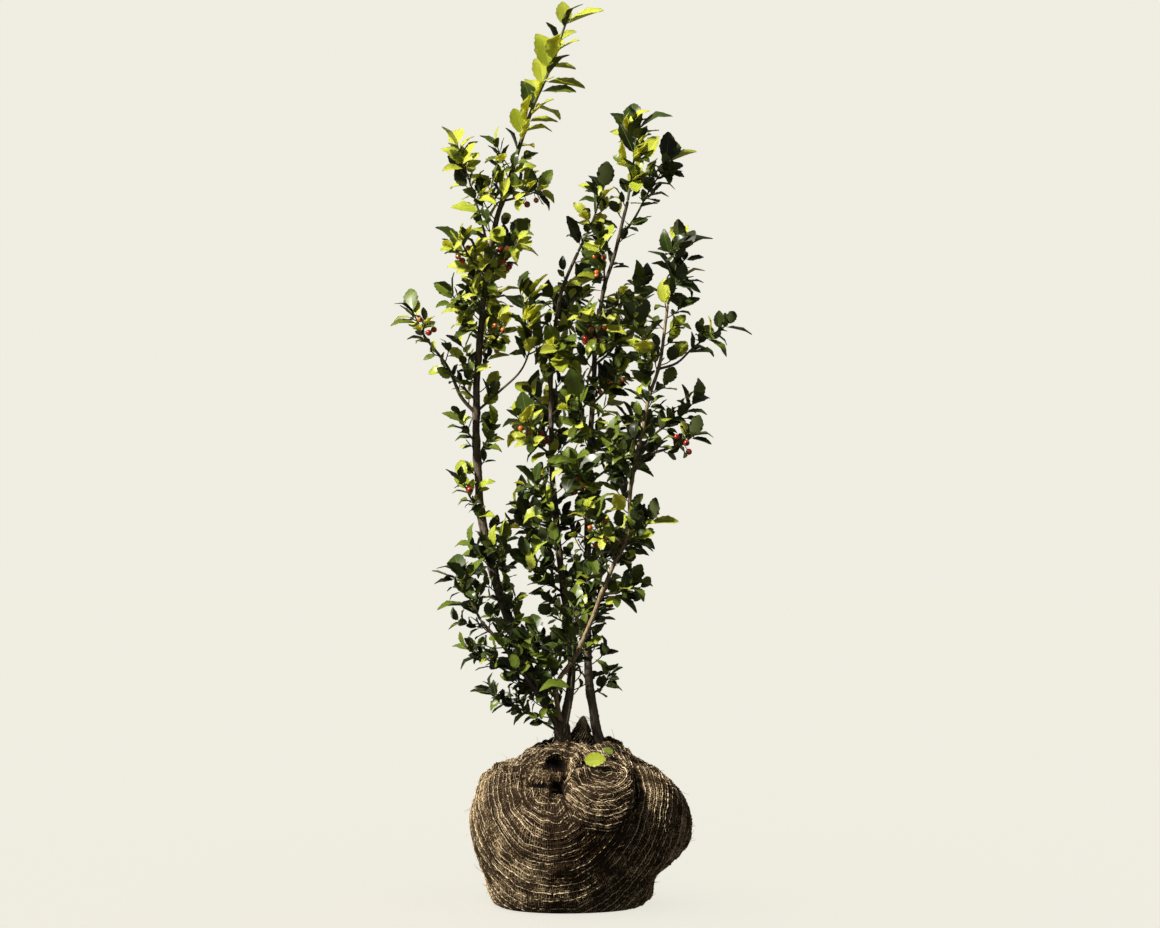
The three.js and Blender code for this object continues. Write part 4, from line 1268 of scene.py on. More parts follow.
def limb_mesh(limb, number, material):
    """A limb with bark relief: ridges along it, a collar at each joint, rings and raised pores."""
    path = limb_paths()[limb.name]
    rings = max(12, round(path.length / LIMB_STEP))
    shares = np.linspace(0, 1, rings + 1)
    lengths = shares * path.length
    wander = [
        noise_at([(along, 0, k) for along in lengths], BEND_SIZE, number + k) for k in (1, 2, 3)
    ]
    settle = smooth(0, 30, lengths) * smooth(0, 20, path.length - lengths)
    centres = path.at(shares) + np.column_stack(wander) * LIMB_STRAY * settle[:, None]
    sides, others = carried_frames(centres)
    turns = np.linspace(0, math.tau, LIMB_SIDES, endpoint=False)
    radii = limb_radius(limb, path.length, shares)
    swell = np.zeros(rings + 1)
    for joint in joints_on(limb):
        gap = lengths - joint * path.length
        swell = np.maximum(swell, COLLAR * np.exp(-((gap / (radii + 3)) ** 2)))
    if limb.start:
        swell = swell + FOOT_COLLAR * np.exp(-lengths / (radii[0] * 1.4))
    to_tip = np.clip((path.length - lengths) / (0.9 * limb.tip), 0.02, 1)
    thick = (radii * (1 + swell) * np.sqrt(1 - (1 - to_tip) ** 2))[:, None] * np.ones(LIMB_SIDES)
    ring = np.stack(np.broadcast_arrays(
        np.cos(turns)[None] * 2.2, np.sin(turns)[None] * 2.2, (lengths / 26)[:, None]), axis=-1)
    ridges = noise_at(ring, 1.0, number + 10)
    pores = noise_at(ring * (3.2, 3.2, 6.5), 1.0, number + 20)
    bands = noise_at(ring * (0.25, 0.25, 7.0), 1.0, number + 30)
    aged = 1 + AGED * np.exp(-(centres[:, 2:] - BALL_TOP) / 90)
    relief = RIDGE_HIGH * ridges + PORE_HIGH * smooth(0.25, 0.55, pores) + BAND_HIGH * bands
    thick = thick * (1 + relief * aged)
    points, _ = rings_of(centres, sides, others, thick, turns)
    faces = grid_faces(rings + 1, LIMB_SIDES) + end_faces(rings + 1, LIMB_SIDES)
    return mesh_of(limb.name + "_bark", points.reshape(-1, 3), faces, material)


# ---- root ball ----

BALL_TURNS = 300
BALL_RINGS = 220
PAD_HOLLOW = 5
LEFT_FALL = 13  # the cloth's upper edge lies lower on the left

# Folds, bunches and hollows in the cloth: the middle as x and z, the half widths, how far they stand
# out, and the side that they are on (-1 front, 1 back, 0 both).
Form = namedtuple("Form", "x z wide high out side", defaults=(-1,))

FORMS = [Form(*row) for row in (
    (-34, 202, 18, 9, -44),  # a hollow beside the left stool, and one under it
    (-31, 177, 10, 8, -34),
    (-20, 189, 5, 12, -14),  # creases that run on from them
    (-52, 176, 24, 3.5, -13),
    (-62, 197, 22, 3, -9),
    (-78, 187, 26, 2.6, -10),
    (-44, 189, 18, 4, 8),  # rolls of cloth between and round them
    (-30, 214, 22, 4, 9),
    (-78, 206, 26, 4.5, 8),
    (-88, 194, 20, 4.5, 9),
    (-82, 183, 16, 4, 8),
    (-100, 180, 16, 4, 6),
    (-12, 184, 5, 16, 7),
    (140, 24, 44, 37, -25, 0),  # the foot, drawn in sharply on the right and a little on the left
    (-128, 24, 20, 20, -7),
    (-112, 172, 26, 22, 5),  # the left shoulder
    (-4, 203, 14, 7, 10),  # rolls to the right of the hollows
    (2, 188, 13, 6, 7),
    (20, 210, 18, 7, 7),
    (26, 160, 42, 38, 9),  # the swag to the right of the middle, and the fold behind it
    (78, 150, 9, 50, -12),
    (118, 138, 16, 60, 5),  # broad bulges of the front
    (-130, 150, 18, 40, 4),
    (-30, 60, 60, 26, 3),
    (60, 196, 30, 12, -6, 1),  # the back
    (-50, 184, 34, 22, 7, 1),
    (40, 130, 50, 40, 5, 1),
    (-100, 120, 12, 60, -5, 1),
)]
SHARP_BELOW = -30  # forms deeper than this have steep walls

# The net is gathered at a point in front of the stems, so its threads lie in arcs round that point and
# in rays from it. On the swag the arcs hang from a second point, higher up and to the right.
GATHER = np.array([-36.0, -100.0, 181.0])
GATHER_OUT = unit(np.array([-0.15, -0.62, 0.77]))
SWAG_FROM = np.array([30.0, -112.0, 206.0])
SWAG_MIDDLE = (27.0, 164.0)  # x and z
SWAG_HALF = (49.0, 49.0)
SWAG_STEP = 6  # how far the swag's right edge stands over the cloth under it
ARC_SCALE = (1.22, 0.8, 1.0)  # the arcs are narrower than they are high
SWAG_ARC_SCALE = (0.95, 0.8, 1)
SWAG_ARCS = 1.15  # arcs on the swag lie closer together by this
FIRST_BAND = 55  # reach at which the number of rays doubles for the first time
BANDS = [(0, 1), (1, 2), (2, 4), (4, 9)]  # the bands in which it does, in that unit
RAYS = 72  # in the first band
THREAD_RADIUS = 0.5
YARN_RADIUS = 0.7
RAY_STEP = 4.2  # length of one piece of a ray, and of an arc and a yarn
ARC_STEP = 2.6
YARN_STEP = 1.5
HAIR_LENGTHS = (4, 15)  # of the loose hairs of jute
HAIR_RISES = (0.1, 0.7)  # how steeply they stand off the cloth
HAIR_RADII = np.linspace(0.32, 0.16, 5)  # from root to tip


@functools.cache
def ball_profile():
    """The wrapped ball's outline from the middle of its flat underside to the edge of the pad on top."""
    rows = [
        (0, 0),
        (FOOT_RADIUS, 0),
        (FOOT_RADIUS + 16, 14),
        (BELLY_RADIUS - 19, 52),
        (BELLY_RADIUS - 5, 86),
        (BELLY_RADIUS, BELLY_HEIGHT),
        (BELLY_RADIUS - 4, 142),
        (BELLY_RADIUS - 17, 167),
        (BELLY_RADIUS - 44, 191),
        (PAD_RADIUS + 32, 208),
        (PAD_RADIUS + 15, BALL_TOP + 4),
        (PAD_RADIUS + 5, BALL_TOP + 6),
        (PAD_RADIUS, BALL_TOP),
        (PAD_RADIUS * 0.5, BALL_TOP - PAD_HOLLOW),
        (0, BALL_TOP - PAD_HOLLOW),
    ]
    return Path([(radius, height, 0) for radius, height in rows])


def ball_swell(angle, height):
    share = height / BALL_TOP
    lobes = BALL_LOBE * np.sin(2 * angle + 0.7) + 0.7 * BALL_LOBE * np.sin(3 * angle + 2)
    gathers = BALL_LOBE * np.maximum(0, share - 0.6) * np.sin(9 * angle)
    return 1 + lobes * np.sin(math.pi * np.minimum(1, share + 0.25)) + gathers


def rim_lift(angle):
    return RIM_LIFT * (0.5 + 0.35 * np.sin(3 * angle + 1) + 0.15 * np.sin(7 * angle))


def pleats(angle, height):
    """Sharp radial gathers that deepen towards the tie at the top."""
    deep = smooth(150, 212, height) * 5.5
    folds = np.abs(np.sin(8.5 * angle + 1.1 + 0.8 * np.sin(3 * angle))) * 0.6
    folds += np.abs(np.sin(14.5 * angle + 0.4 + 0.9 * np.sin(5 * angle))) * 0.4
    return deep * (0.62 - folds)


def swag_share(points):
    """0 in the middle of the swag, 1 along its edge, and more beyond it."""
    across = (points[..., 0] - SWAG_MIDDLE[0]) / SWAG_HALF[0]
    upward = (points[..., 2] - SWAG_MIDDLE[1]) / SWAG_HALF[1]
    return np.hypot(across, upward) + 0.16 * noise_at(points, 26, 25) + 4 * (points[..., 1] > 0)


def grid_normals(points):
    """Directions square to a grid of points that is closed along its rows, pointing out of it."""
    around = np.roll(points, -1, axis=1) - np.roll(points, 1, axis=1)
    upward = np.gradient(points, axis=0)
    normals = np.cross(around, upward)
    return normals / np.maximum(np.linalg.norm(normals, axis=2), 1e-9)[..., None]


def form_lift(points):
    """How far the forms lift the cloth, with ragged outlines."""
    ragged, lift = 1 + 0.45 * noise_at(points, 12, 9), 0
    for form in FORMS:
        facing = smooth(-20, 30, form.side * points[..., 1]) if form.side else 1
        gap = ((points[..., 0] - form.x) / form.wide) ** 2 + ((points[..., 2] - form.z) / form.high) ** 2
        gap = gap * ragged
        lift = lift + form.out * np.exp(-gap ** (1.8 if form.out < SHARP_BELOW else 1)) * facing
    return lift


def swag_lift(points):
    """The swag stands over the cloth under it, furthest along its right edge."""
    right = smooth(-5, 40, points[..., 0] - SWAG_MIDDLE[0])
    return (1 + SWAG_STEP * right) * (1 - smooth(0.86, 1.02, swag_share(points)))


def gather_lift(points, height, free):
    """Puckers round the gathering point, crumples over the left shoulder, and the cloth's unevenness."""
    from_gather = np.linalg.norm(points - GATHER, axis=2)
    near = np.exp(-((from_gather / 66) ** 2)) * free
    spoke = np.arctan2(points[..., 2] - GATHER[2], points[..., 0] - GATHER[0])
    lift = 3.5 * np.sin(9 * spoke + 1.5 * np.sin(2 * spoke)) * np.exp(-((from_gather - 34) / 30) ** 2)
    crumpled = smooth(158, 196, points[..., 2]) * smooth(40, -10, points[..., 0]) * free
    lift = lift + 5.5 * noise_at(points, 13, 4) * near
    lift = lift + 7.0 * np.abs(noise_at(points * (0.4, 0.4, 1.3), 13, 6)) * crumpled
    lift = lift + 2.0 * np.abs(noise_at(points, 7, 5)) * near
    for rise, size, seed, where in (
        (3.2, 44, 1, smooth(0, 30, height)),
        (1.5, 15, 2, smooth(0, 16, height)),
        (2.2, 8, 3, smooth(170, 212, height) * free),
    ):
        lift = lift + rise * noise_at(points, size, seed) * where
    return lift


@functools.cache
def ball_grid():
    """Points and outward directions of the wrapped ball, by ring from the underside up and by turn."""
    outline = ball_profile().at(np.linspace(0.004, 0.985, BALL_RINGS))
    angle = np.linspace(0, math.tau, BALL_TURNS, endpoint=False)[None, :] - math.pi
    radius, height = outline[:, :1], outline[:, 1:2]
    height = np.maximum(height, 0) + 0 * angle
    swell = ball_swell(angle, height)
    lean = -BALL_LEAN * (1 - np.sin(math.pi * np.clip(height / BALL_TOP, 0, 1))) * smooth(0, 40, radius)
    x = radius * np.cos(angle) * swell + lean
    y = radius * np.sin(angle) * swell * BALL_DEPTH
    rim = smooth(PAD_RADIUS - 12, PAD_RADIUS + 4, radius) * smooth(BALL_TOP - 20, BALL_TOP, height)
    points = np.stack([x, y, height + rim_lift(angle) * rim], axis=-1)
    outward = grid_normals(points)
    free = smooth(2, 26, height) * smooth(PAD_RADIUS - 8, PAD_RADIUS + 10, radius)
    lift = pleats(angle, height) * free + form_lift(points)
    lift = lift + swag_lift(points) + gather_lift(points, height, free)
    points = points + outward * lift[..., None]
    points[..., 2] -= LEFT_FALL * smooth(-25, -75, points[..., 0]) * smooth(196, 216, points[..., 2])
    points[..., 2] = np.maximum(points[..., 2], 0)
    return points, grid_normals(points)


# ---- the lie of the cloth ----


def corners_of(grid):
    """A grid's values at the four corners of every cell of it."""
    beside = np.roll(grid, -1, axis=1)
    return grid[:-1], grid[1:], beside[:-1], beside[1:]


@functools.cache
def cloth_fields():
    """For every point of the ball's grid, how far it lies from where its arcs hang, and at what turn.

    Also which cells of the grid lie wholly on the swag or wholly off it.
    """
    points, _ = ball_grid()
    away = points - GATHER
    reach = np.linalg.norm(away * ARC_SCALE, axis=2)
    sideways = unit(np.cross(UP, GATHER_OUT))
    turn = np.arctan2(away @ np.cross(GATHER_OUT, sideways), away @ sideways)
    hung = np.linalg.norm((points - SWAG_FROM) * SWAG_ARC_SCALE, axis=2)
    on_swag = swag_share(points) < 1
    whole = np.all(corners_of(on_swag), axis=0) | ~np.any(corners_of(on_swag), axis=0)
    near = np.exp(-((np.linalg.norm(away, axis=2) / 60) ** 2))
    wander = 4.0 * noise_at(points, 48, 21) + (1.8 + 4 * near) * noise_at(points, 17, 22)
    wander = wander + (1.1 + 2 * near) * noise_at(points, 7, 24)
    reach = np.where(on_swag, hung * SWAG_ARCS, reach) + wander
    return reach, turn + 0.03 * noise_at(points, 30, 23), whole


def isolines(field, level, usable):
    """Lines along which a field over the ball's grid has one value, as points and directions outwards."""
    rings, turns = field.shape
    above = field > level
    beside, over = above ^ np.roll(above, -1, axis=1), above[:-1] ^ above[1:]
    crossed = np.stack([beside[:-1], beside[1:], over, np.roll(over, -1, axis=1)], axis=-1)
    here = np.arange(rings * turns).reshape(rings, turns)
    right = np.roll(here, -1, axis=1)
    names = np.stack([here[:-1], here[1:], here[:-1] + rings * turns, right[:-1] + rings * turns], axis=-1)
    cells = (crossed.sum(axis=-1) == 2) & usable
    links = {}
    for one, other in names[cells][crossed[cells]].reshape(-1, 2).tolist():
        links.setdefault(one, []).append(other)
        links.setdefault(other, []).append(one)
    flat, lines = field.ravel(), []
    for start in sorted(links, key=lambda name: len(links[name])):
        chain, step = [], start
        while step in links:
            chain.append(step)
            step = next((name for name in links.pop(step) if name in links), None)
        if not chain:
            continue
        chain = np.array(chain)
        is_over = chain >= rings * turns
        low = chain - is_over * rings * turns
        high = np.where(is_over, low + turns, np.where(low % turns == turns - 1, low - turns + 1, low + 1))
        share = ((level - flat[low]) / (flat[high] - flat[low]))[:, None]
        grids = (grid.reshape(-1, 3) for grid in ball_grid())
        lines.append([grid[low] * (1 - share) + grid[high] * share for grid in grids])
    return lines


def laid(line, radius, seed, wear, dots=0.0, step=ARC_STEP):
    """A thread along a line on the ball: evenly stepped, of uneven thickness, and broken where worn."""
    lengths = np.concatenate([[0], np.cumsum(np.linalg.norm(np.diff(line[0], axis=0), axis=1))])
    if lengths[-1] < 3 * step:
        return []
    run = np.arange(0, lengths[-1], step)
    places, outward = (
        np.column_stack([np.interp(run, lengths, values[:, k]) for k in range(3)]) for values in line
    )
    across = noise_at(places + seed * 3.1, 6, 31) * 0.5
    thick = radius * (1 + 0.35 * noise_at(places + seed * 5.7, 7, 32)) * (1 + dots * 0.45 * np.sin(run * 1.7))
    lift = radius * (0.35 + dots * np.sin(run / 1.55 + seed) + 0.5 * noise_at(places + seed, 20, 33))
    places = places + outward * lift[:, None] + UP * across[:, None]
    worn = noise_at(places + seed * 0.9, 26, 34) + 0.35 * noise_at(places + seed * 2.3, 8, 35)
    (x, _, z), (wide, _, high) = WORN_THROUGH
    gap = np.hypot((places[:, 0] - x) / wide, (places[:, 2] - z) / high)
    front = np.exp(-(gap**2)) * smooth(0, 40, -places[:, 1])
    keep = (places[:, 2] > 1.0) & (worn < wear - 0.3 * front)
    for (x, _, z), (wide, _, high) in PAINTED_SHADE_PITS:
        keep &= np.hypot((places[:, 0] - x) / wide, (places[:, 2] - z) / high) + (places[:, 1] > 0) > 0.6
    return runs_of(places, thick, keep)


def arc_threads(pitch, every):
    """Arcs round the gathering point: thin threads, and a heavier yarn at every so many."""
    reach, _, usable = cloth_fields()
    thin, heavy = [], []
    for number in range(2, int(reach.max() / pitch)):
        level = pitch * (number + 1.3 * (chance(number, 41) - 0.5))
        for line in isolines(reach, level, usable):
            if number % every:
                thin += laid(line, THREAD_RADIUS, number, 0.75)
            else:
                radius = YARN_RADIUS * lerp(0.7, 1.25, chance(number, 42))
                heavy += laid(line, radius, number, 0.6, 0.8, YARN_STEP)
    return thin, heavy


def ray_threads():
    """Threads from the gathering point outwards, twice as many each time that the reach doubles."""
    reach, turn, _ = cloth_fields()
    threads = []
    for band, (low, high) in enumerate(BANDS):
        inside = (reach > low * FIRST_BAND) & (reach <= high * FIRST_BAND)
        count = RAYS * 2**band
        for number in range(count):
            heading = math.tau * (number + 0.3 * chance(number, 43)) / count
            gap = (turn - heading + math.pi) % math.tau - math.pi
            usable = np.all(corners_of(inside & (np.abs(gap) < 1))[:3], axis=0)
            for line in isolines(gap, 0.0, usable):
                threads += laid(line, THREAD_RADIUS, number + 90, 0.6, 0, RAY_STEP)
    return threads


def loose_fibres(count):
    """Short bent hairs of jute that stand off the cloth."""
    points, normals = (grid.reshape(-1, 3) for grid in ball_grid())
    lines = []
    for number in range(count):
        at = int(chance(number, 51) * len(points))
        if points[at, 2] < 6:
            continue
        along = radial_at(normals[at], chance(number, 52) * math.tau)
        length = lerp(*HAIR_LENGTHS, chance(number, 53) ** 2)
        rise = lerp(*HAIR_RISES, chance(number, 54) ** 2)
        bend = radial_at(along, chance(number, 55) * math.tau)
        shares = np.linspace(0, 1, len(HAIR_RADII))[:, None]
        hair = points[at] + length * (shares * (along + normals[at] * rise) + 0.4 * shares**2 * bend)
        if hair[:, 2].min() > 1.5:
            lines.append((hair, HAIR_RADII))
    return lines


def ball_mesh(material):
    """The wrapped ball, closed by one point under it and one on the pad."""
    points, _ = ball_grid()
    low, high = points[0].mean(axis=0), points[-1].mean(axis=0)
    low[2] = 0
    vertices = np.vstack([points.reshape(-1, 3), [low, high]])
    faces = grid_faces(BALL_RINGS, BALL_TURNS)
    last = BALL_RINGS * BALL_TURNS
    top = last - BALL_TURNS
    faces += [(last, (i + 1) % BALL_TURNS, i) for i in range(BALL_TURNS)]
    faces += [(last + 1, top + i, top + (i + 1) % BALL_TURNS) for i in range(BALL_TURNS)]
    return mesh_of("jute_cloth", vertices, faces, material)


EAR_SIDES = 56
EAR_RINGS = 60
EAR_RADII = (33, 1.5)  # at its foot and its tip
EAR_THREADS = 34
EAR_ENDS = 26  # frayed ends at its top, from the shortest to the longest of these
EAR_END_LENGTHS = (8, 26)
EAR_WAY = [(0, 12, BALL_TOP - 6), (1, 13, BALL_TOP + 18), (5, 15, BALL_TOP + 46)]


def ear_surface(shares, turns):
    """The twisted end of the cloth between the stools, at shares of its height and turns round it."""
    centres = Path(EAR_WAY).at(shares)
    sides, others = carried_frames(centres)
    height, turn = shares[:, None], turns[None]
    folds = 0.3 * np.sin(5 * turn + 4 * height) + 0.12 * np.sin(11 * turn - 9 * height)
    radii = lerp(*EAR_RADII, shares**0.62)[:, None] * (1 + folds)
    radii = radii * np.sqrt(np.clip((1 - shares) / 0.04, 0.01, 1))[:, None]
    points, around = rings_of(centres, sides, others, radii, turns)
    lumps = 6.5 * noise_at(points, 12, 61) + 3.0 * noise_at(points, 5, 62)
    return points + (lumps * smooth(0, 0.6, 1 - height))[..., None] * around, around


def ear_mesh(material):
    turns = np.linspace(0, math.tau, EAR_SIDES, endpoint=False)
    points, _ = ear_surface(np.linspace(0, 1, EAR_RINGS), turns)
    faces = grid_faces(EAR_RINGS, EAR_SIDES) + end_faces(EAR_RINGS, EAR_SIDES)
    return mesh_of("jute_ear", points.reshape(-1, 3), faces, material)


def ear_threads():
    """Threads that wind up the twisted end and fray out of its top."""
    lines = []
    shares = np.linspace(0.02, 1, 26)
    for number in range(EAR_THREADS):
        turn = math.tau * number / EAR_THREADS
        points, around = ear_surface(shares, turn + 1.6 * shares)
        places = np.array([points[i, i] + around[i, i] * 0.4 for i in range(len(shares))])
        lines.append((places, 0.5 * (1 + 0.3 * noise_at(places, 6, 63))))
    for number in range(EAR_ENDS):
        root = np.array(EAR_WAY[-1]) - UP * 22 * chance(number, 64)
        out = radial_at(UP, number * GOLDEN)
        length = lerp(*EAR_END_LENGTHS, chance(number, 65))
        steps = np.linspace(0, 1, 6)[:, None]
        fall = UP * lerp(-1.0, 0.7, chance(number, 66))
        places = root + out * 3 + length * (steps * out * 0.7 + steps**2 * fall)
        lines.append((places, np.linspace(0.45, 0.2, 6)))
    return lines


def runs_of(points, radii, keep):
    """The unbroken stretches of a line where keep is true."""
    found, start = [], None
    for i, kept in enumerate([*keep, False]):
        if kept and start is None:
            start = i
        if not kept and start is not None:
            if i - start > 2:
                found.append((points[start:i], radii[start:i]))
            start = None
    return found


# Leaves that have dropped on the cloth: x and z of the front where each lies, its length, its turn in
# the cloth's plane, and its tint.
FALLEN = [(4, 206, 33, 0.1, 3), (47, 208, 18, 2.6, 2)]
FALLEN_FACE = np.array([-0.7, -1.2, 0.5])  # how much they turn their faces to the light
FALLEN_LIFT = 12.0  # how far their stalks stand off the cloth
FALLEN_KIND = 3  # the flattest of the shapes


def fallen_leaves():
    """Leaves that lie loose on the cloth."""
    points, normals = ball_grid()
    leaves = []
    for x, z, length, turn, tint in FALLEN:
        gap = (points[..., 0] - x) ** 2 + (points[..., 2] - z) ** 2 + 1e6 * (points[..., 1] > 0)
        spot = np.unravel_index(np.argmin(gap), gap.shape)
        face = unit(normals[spot] + FALLEN_FACE)
        sideways = unit(np.cross(UP, face))
        along = sideways * math.cos(turn) + np.cross(face, sideways) * math.sin(turn)
        leaves.append(Leaf(points[spot] + face * FALLEN_LIFT, along, face, length, FALLEN_KIND, tint))
    return leaves


# ---- settings ----


def length_property(name, description, default, **limits):
    return FloatProperty(
        name=name, description=description, default=default, unit="LENGTH", subtype="DISTANCE", **limits
    )


def colour_property(name, description, default):
    return FloatVectorProperty(
        name=name, description=description, default=default, size=3, min=0.0, max=1.0, subtype="COLOR"
    )


class HollyFoliageSettings(bpy.types.PropertyGroup):
    """Sizes of the foliage."""

    leaf_gap: length_property(
        "Leaf Spacing", "Distance between leaves along a shoot", 0.0079, min=0.004, max=0.05
    )
    leaf_scale: FloatProperty(
        name="Leaf Size", description="Size of the leaves against their natural size",
        default=1.0, min=0.3, max=2.0, subtype="FACTOR",
    )
    glow: FloatProperty(
        name="Leaf Glow", description="Share of light that passes into a pale leaf",
        default=0.6, min=0.0, max=1.0, subtype="FACTOR",
    )


class HollyBallSettings(bpy.types.PropertyGroup):
    """Sizes of the jute cloth round the root ball."""

    thread_gap: length_property(
        "Thread Spacing", "Distance between the arcs of the net", 0.0034, min=0.001, max=0.02
    )
    yarn_every: IntProperty(
        name="Yarn Every", description="Which arcs are heavier yarn: every third, fourth and so on",
        default=3, min=1, max=20,
    )
    fibres: IntProperty(
        name="Loose Fibres", description="Number of loose hairs of jute", default=1300, min=0, max=20000,
    )


class HollyColourSettings(bpy.types.PropertyGroup):
    """Colours of the plant and its cloth."""

    # The leaf greens and undersides go by tint, and the tints carry painted light and shade: paler for leaves
    # that face the key light, darker for those turned away and on the plant's shaded right side, besides
    # paler for young leaves and leaves high up.
    leaf_deep: colour_property("Deep Leaf", "Old leaves in the shade", (0.013, 0.020, 0.003))
    leaf_dark: colour_property("Dark Leaf", "Most full-grown leaves", (0.041, 0.066, 0.009))
    leaf_mid: colour_property("Mid Leaf", "Younger full-grown leaves", (0.122, 0.170, 0.015))
    leaf_light: colour_property("Light Leaf", "Leaves of this year", (0.37, 0.43, 0.028))
    leaf_young: colour_property("Young Leaf", "Soft leaves at the tips", (0.52, 0.56, 0.06))
    leaf_rib: colour_property("Rib", "Midrib of a leaf", (0.24, 0.27, 0.07))
    under_dark: colour_property("Dark Underside", "Underside of full-grown leaves", (0.063, 0.078, 0.022))
    under_young: colour_property("Young Underside", "Underside of young leaves", (0.58, 0.59, 0.07))
    bark_dark: colour_property("Dark Bark", "Cracks and shaded bark", (0.034, 0.023, 0.016))
    bark_light: colour_property("Light Bark", "Ridges of the bark", (0.20, 0.145, 0.095))
    bark_lichen: colour_property("Lichen", "Dull patches on the bark", (0.17, 0.155, 0.10))
    stem_dark: colour_property("Dark Stem", "Cracks in the young stems", (0.14, 0.09, 0.04))
    stem_light: colour_property("Light Stem", "Young stems", (0.48, 0.36, 0.19))
    twig_green: colour_property("Green Twig", "Bark of this year's shoots", (0.10, 0.13, 0.03))
    twig_brown: colour_property("Brown Twig", "Bark of last year's shoots", (0.085, 0.055, 0.032))
    berry_ripe: colour_property("Ripe Berry", "Ripe fruit", (0.44, 0.028, 0.012))
    berry_turning: colour_property("Turning Berry", "Fruit that is turning", (0.60, 0.17, 0.025))
    berry_green: colour_property("Unripe Berry", "Unripe fruit", (0.42, 0.45, 0.05))
    berry_scar: colour_property("Flower Scar", "Scar at the end of a berry", (0.02, 0.012, 0.008))
    straw: colour_property("Straw", "Clean jute", (0.82, 0.67, 0.42))
    straw_grey: colour_property("Grey Straw", "Clean thin threads", (0.60, 0.44, 0.25))
    straw_dark: colour_property("Dark Straw", "Soiled jute", (0.058, 0.032, 0.011))
    straw_matted: colour_property("Matted Straw", "Flattened fibre on the soil", (0.058, 0.031, 0.012))
    soil: colour_property("Soil", "Moist soil between the threads", (0.012, 0.007, 0.004))
    # Painted shade: the near-black laid into the pits beside the left stool, where shadow falls deep in the
    # folds.
    pit_shade: colour_property("Pit", "Wet soil deep in the folds", (0.004, 0.003, 0.002))
    soil_light: colour_property("Dry Soil", "Drier crumbs of soil", (0.040, 0.022, 0.010))
    floor: colour_property("Floor", "Floor and backdrop", (0.871, 0.847, 0.761))
    key: colour_property("Key Light", "Warm light from the left", (1.0, 0.965, 0.9))
    fill: colour_property("Fill Light", "Light from all round", (1.0, 0.98, 0.95))


class HollyStageSettings(bpy.types.PropertyGroup):
    """Light and camera."""

    key_strength: FloatProperty(
        name="Key Strength", description="Strength of the key light", default=6.5, min=0.0
    )
    key_size: FloatProperty(
        name="Key Size", description="Angle that the key light fills in the sky",
        default=math.radians(7), min=0.0, unit="ROTATION", subtype="ANGLE",
    )
    fill: FloatProperty(
        name="Fill", description="Strength of the light from all round", default=0.15, min=0.0
    )
    floor_glow: FloatProperty(
        name="Floor Glow", description="Light that the floor gives by itself", default=0.85
    )
    lens: FloatProperty(name="Lens", description="Focal length of the camera", default=99.75, min=1.0)
    camera_gap: length_property(
        "Camera Distance", "Distance from the camera to the plant's middle", 4.5, min=0.5
    )
    camera_height: length_property("Camera Height", "Height of the camera above the floor", 0.616)


# ---- pieces ----

# Limbs whose masses and spurs have their leaves in one piece.
REGIONS = {
    "leader": ("leader",),
    "left": ("left_high_bough", "low_left_bough", "stool_left"),
    "middle": ("mid_stem",),
    "right": ("right_stem",),
    "front": ("front_stem", "front_fork", "right_low_bough"),
}

# Finish, colour, roughness, share of the glow, and the part and the lowest and highest tint that wear it.
LEAF_FINISHES = [
    ("leaf_deep", "leaf_deep", 0.36, 0.0, TOP, 0, 0),
    ("leaf_dark", "leaf_dark", 0.34, 0.0, TOP, 1, 1),
    ("leaf_mid", "leaf_mid", 0.36, 0.5, TOP, 2, 2),
    ("leaf_light", "leaf_light", 0.38, 1.0, TOP, 3, 3),
    ("leaf_young", "leaf_young", 0.39, 1.0, TOP, 4, 4),
    ("leaf_rib", "leaf_rib", 0.4, 0.0, RIB, 0, 4),
    ("leaf_under", "under_dark", 0.5, 0.0, UNDER, 0, 2),
    ("leaf_under_young", "under_young", 0.5, 1.0, UNDER, 3, 4),
    ("leaf_stalk", "twig_green", 0.5, 0.0, STALK, 0, 4),
]

# Finish and colour of the berries by ripeness, and of their scar, with what wears it as above.
BERRY_FINISHES = [
    ("berry_unripe", "berry_green", 0, 0, 0),
    ("berry_turning", "berry_turning", 0, 1, 1),
    ("berry_ripe", "berry_ripe", 0, 2, 2),
    ("berry_scar", "berry_scar", 1, 0, 2),
]
TURNING, RIPE = 0.2, 0.5  # ripeness from which a berry turns and is red
BERRY_SIZES = (0.85, 1.1)


def plant_of(context):
    settings = context.scene.holly_foliage
    return grown_plant(round(settings.leaf_gap / MM, 4), settings.leaf_scale)


class HOLLY_OT_limbs(bpy.types.Operator):
    """Build the stools, stems and boughs with their bark"""

    bl_idname = "holly.limbs"
    bl_label = "Limbs"

    def execute(self, context):
        colours = context.scene.holly_colours
        old = bark_finish("old_bark", colours.bark_dark, colours.bark_light, colours.bark_lichen)
        young = bark_finish("young_bark", colours.stem_dark, colours.stem_light, colours.bark_lichen)
        for number, limb in enumerate(LIMBS):
            is_young = limb.name.startswith("front")
            mesh = limb_mesh(limb, number, young if is_young else old)
            shown(limb.name + "_bark", mesh, "green_bark" if is_young else "bark", limb.name)
        return {"FINISHED"}


class HOLLY_OT_twigs(bpy.types.Operator):
    """Build the shoots, twigs and berry stalks"""

    bl_idname = "holly.twigs"
    bl_label = "Twigs"

    def execute(self, context):
        colours = context.scene.holly_colours
        finish = twig_finish("twig_bark", colours.twig_brown, colours.twig_green)
        lines = []
        for growth in plant_of(context):
            for shoot in growth.shoots:
                shares = np.linspace(0, 1, max(4, round(shoot.path.length / 7)) + 1)
                lines.append((shoot.path.at(shares), lerp(shoot.foot, shoot.tip, shares)))
            for berry in growth.berries:
                lines.append((np.array([berry.root, berry.middle]), np.array(STALK_RADII)))
        shown("twigs", strands("twigs", lines, finish), "green_bark")
        return {"FINISHED"}


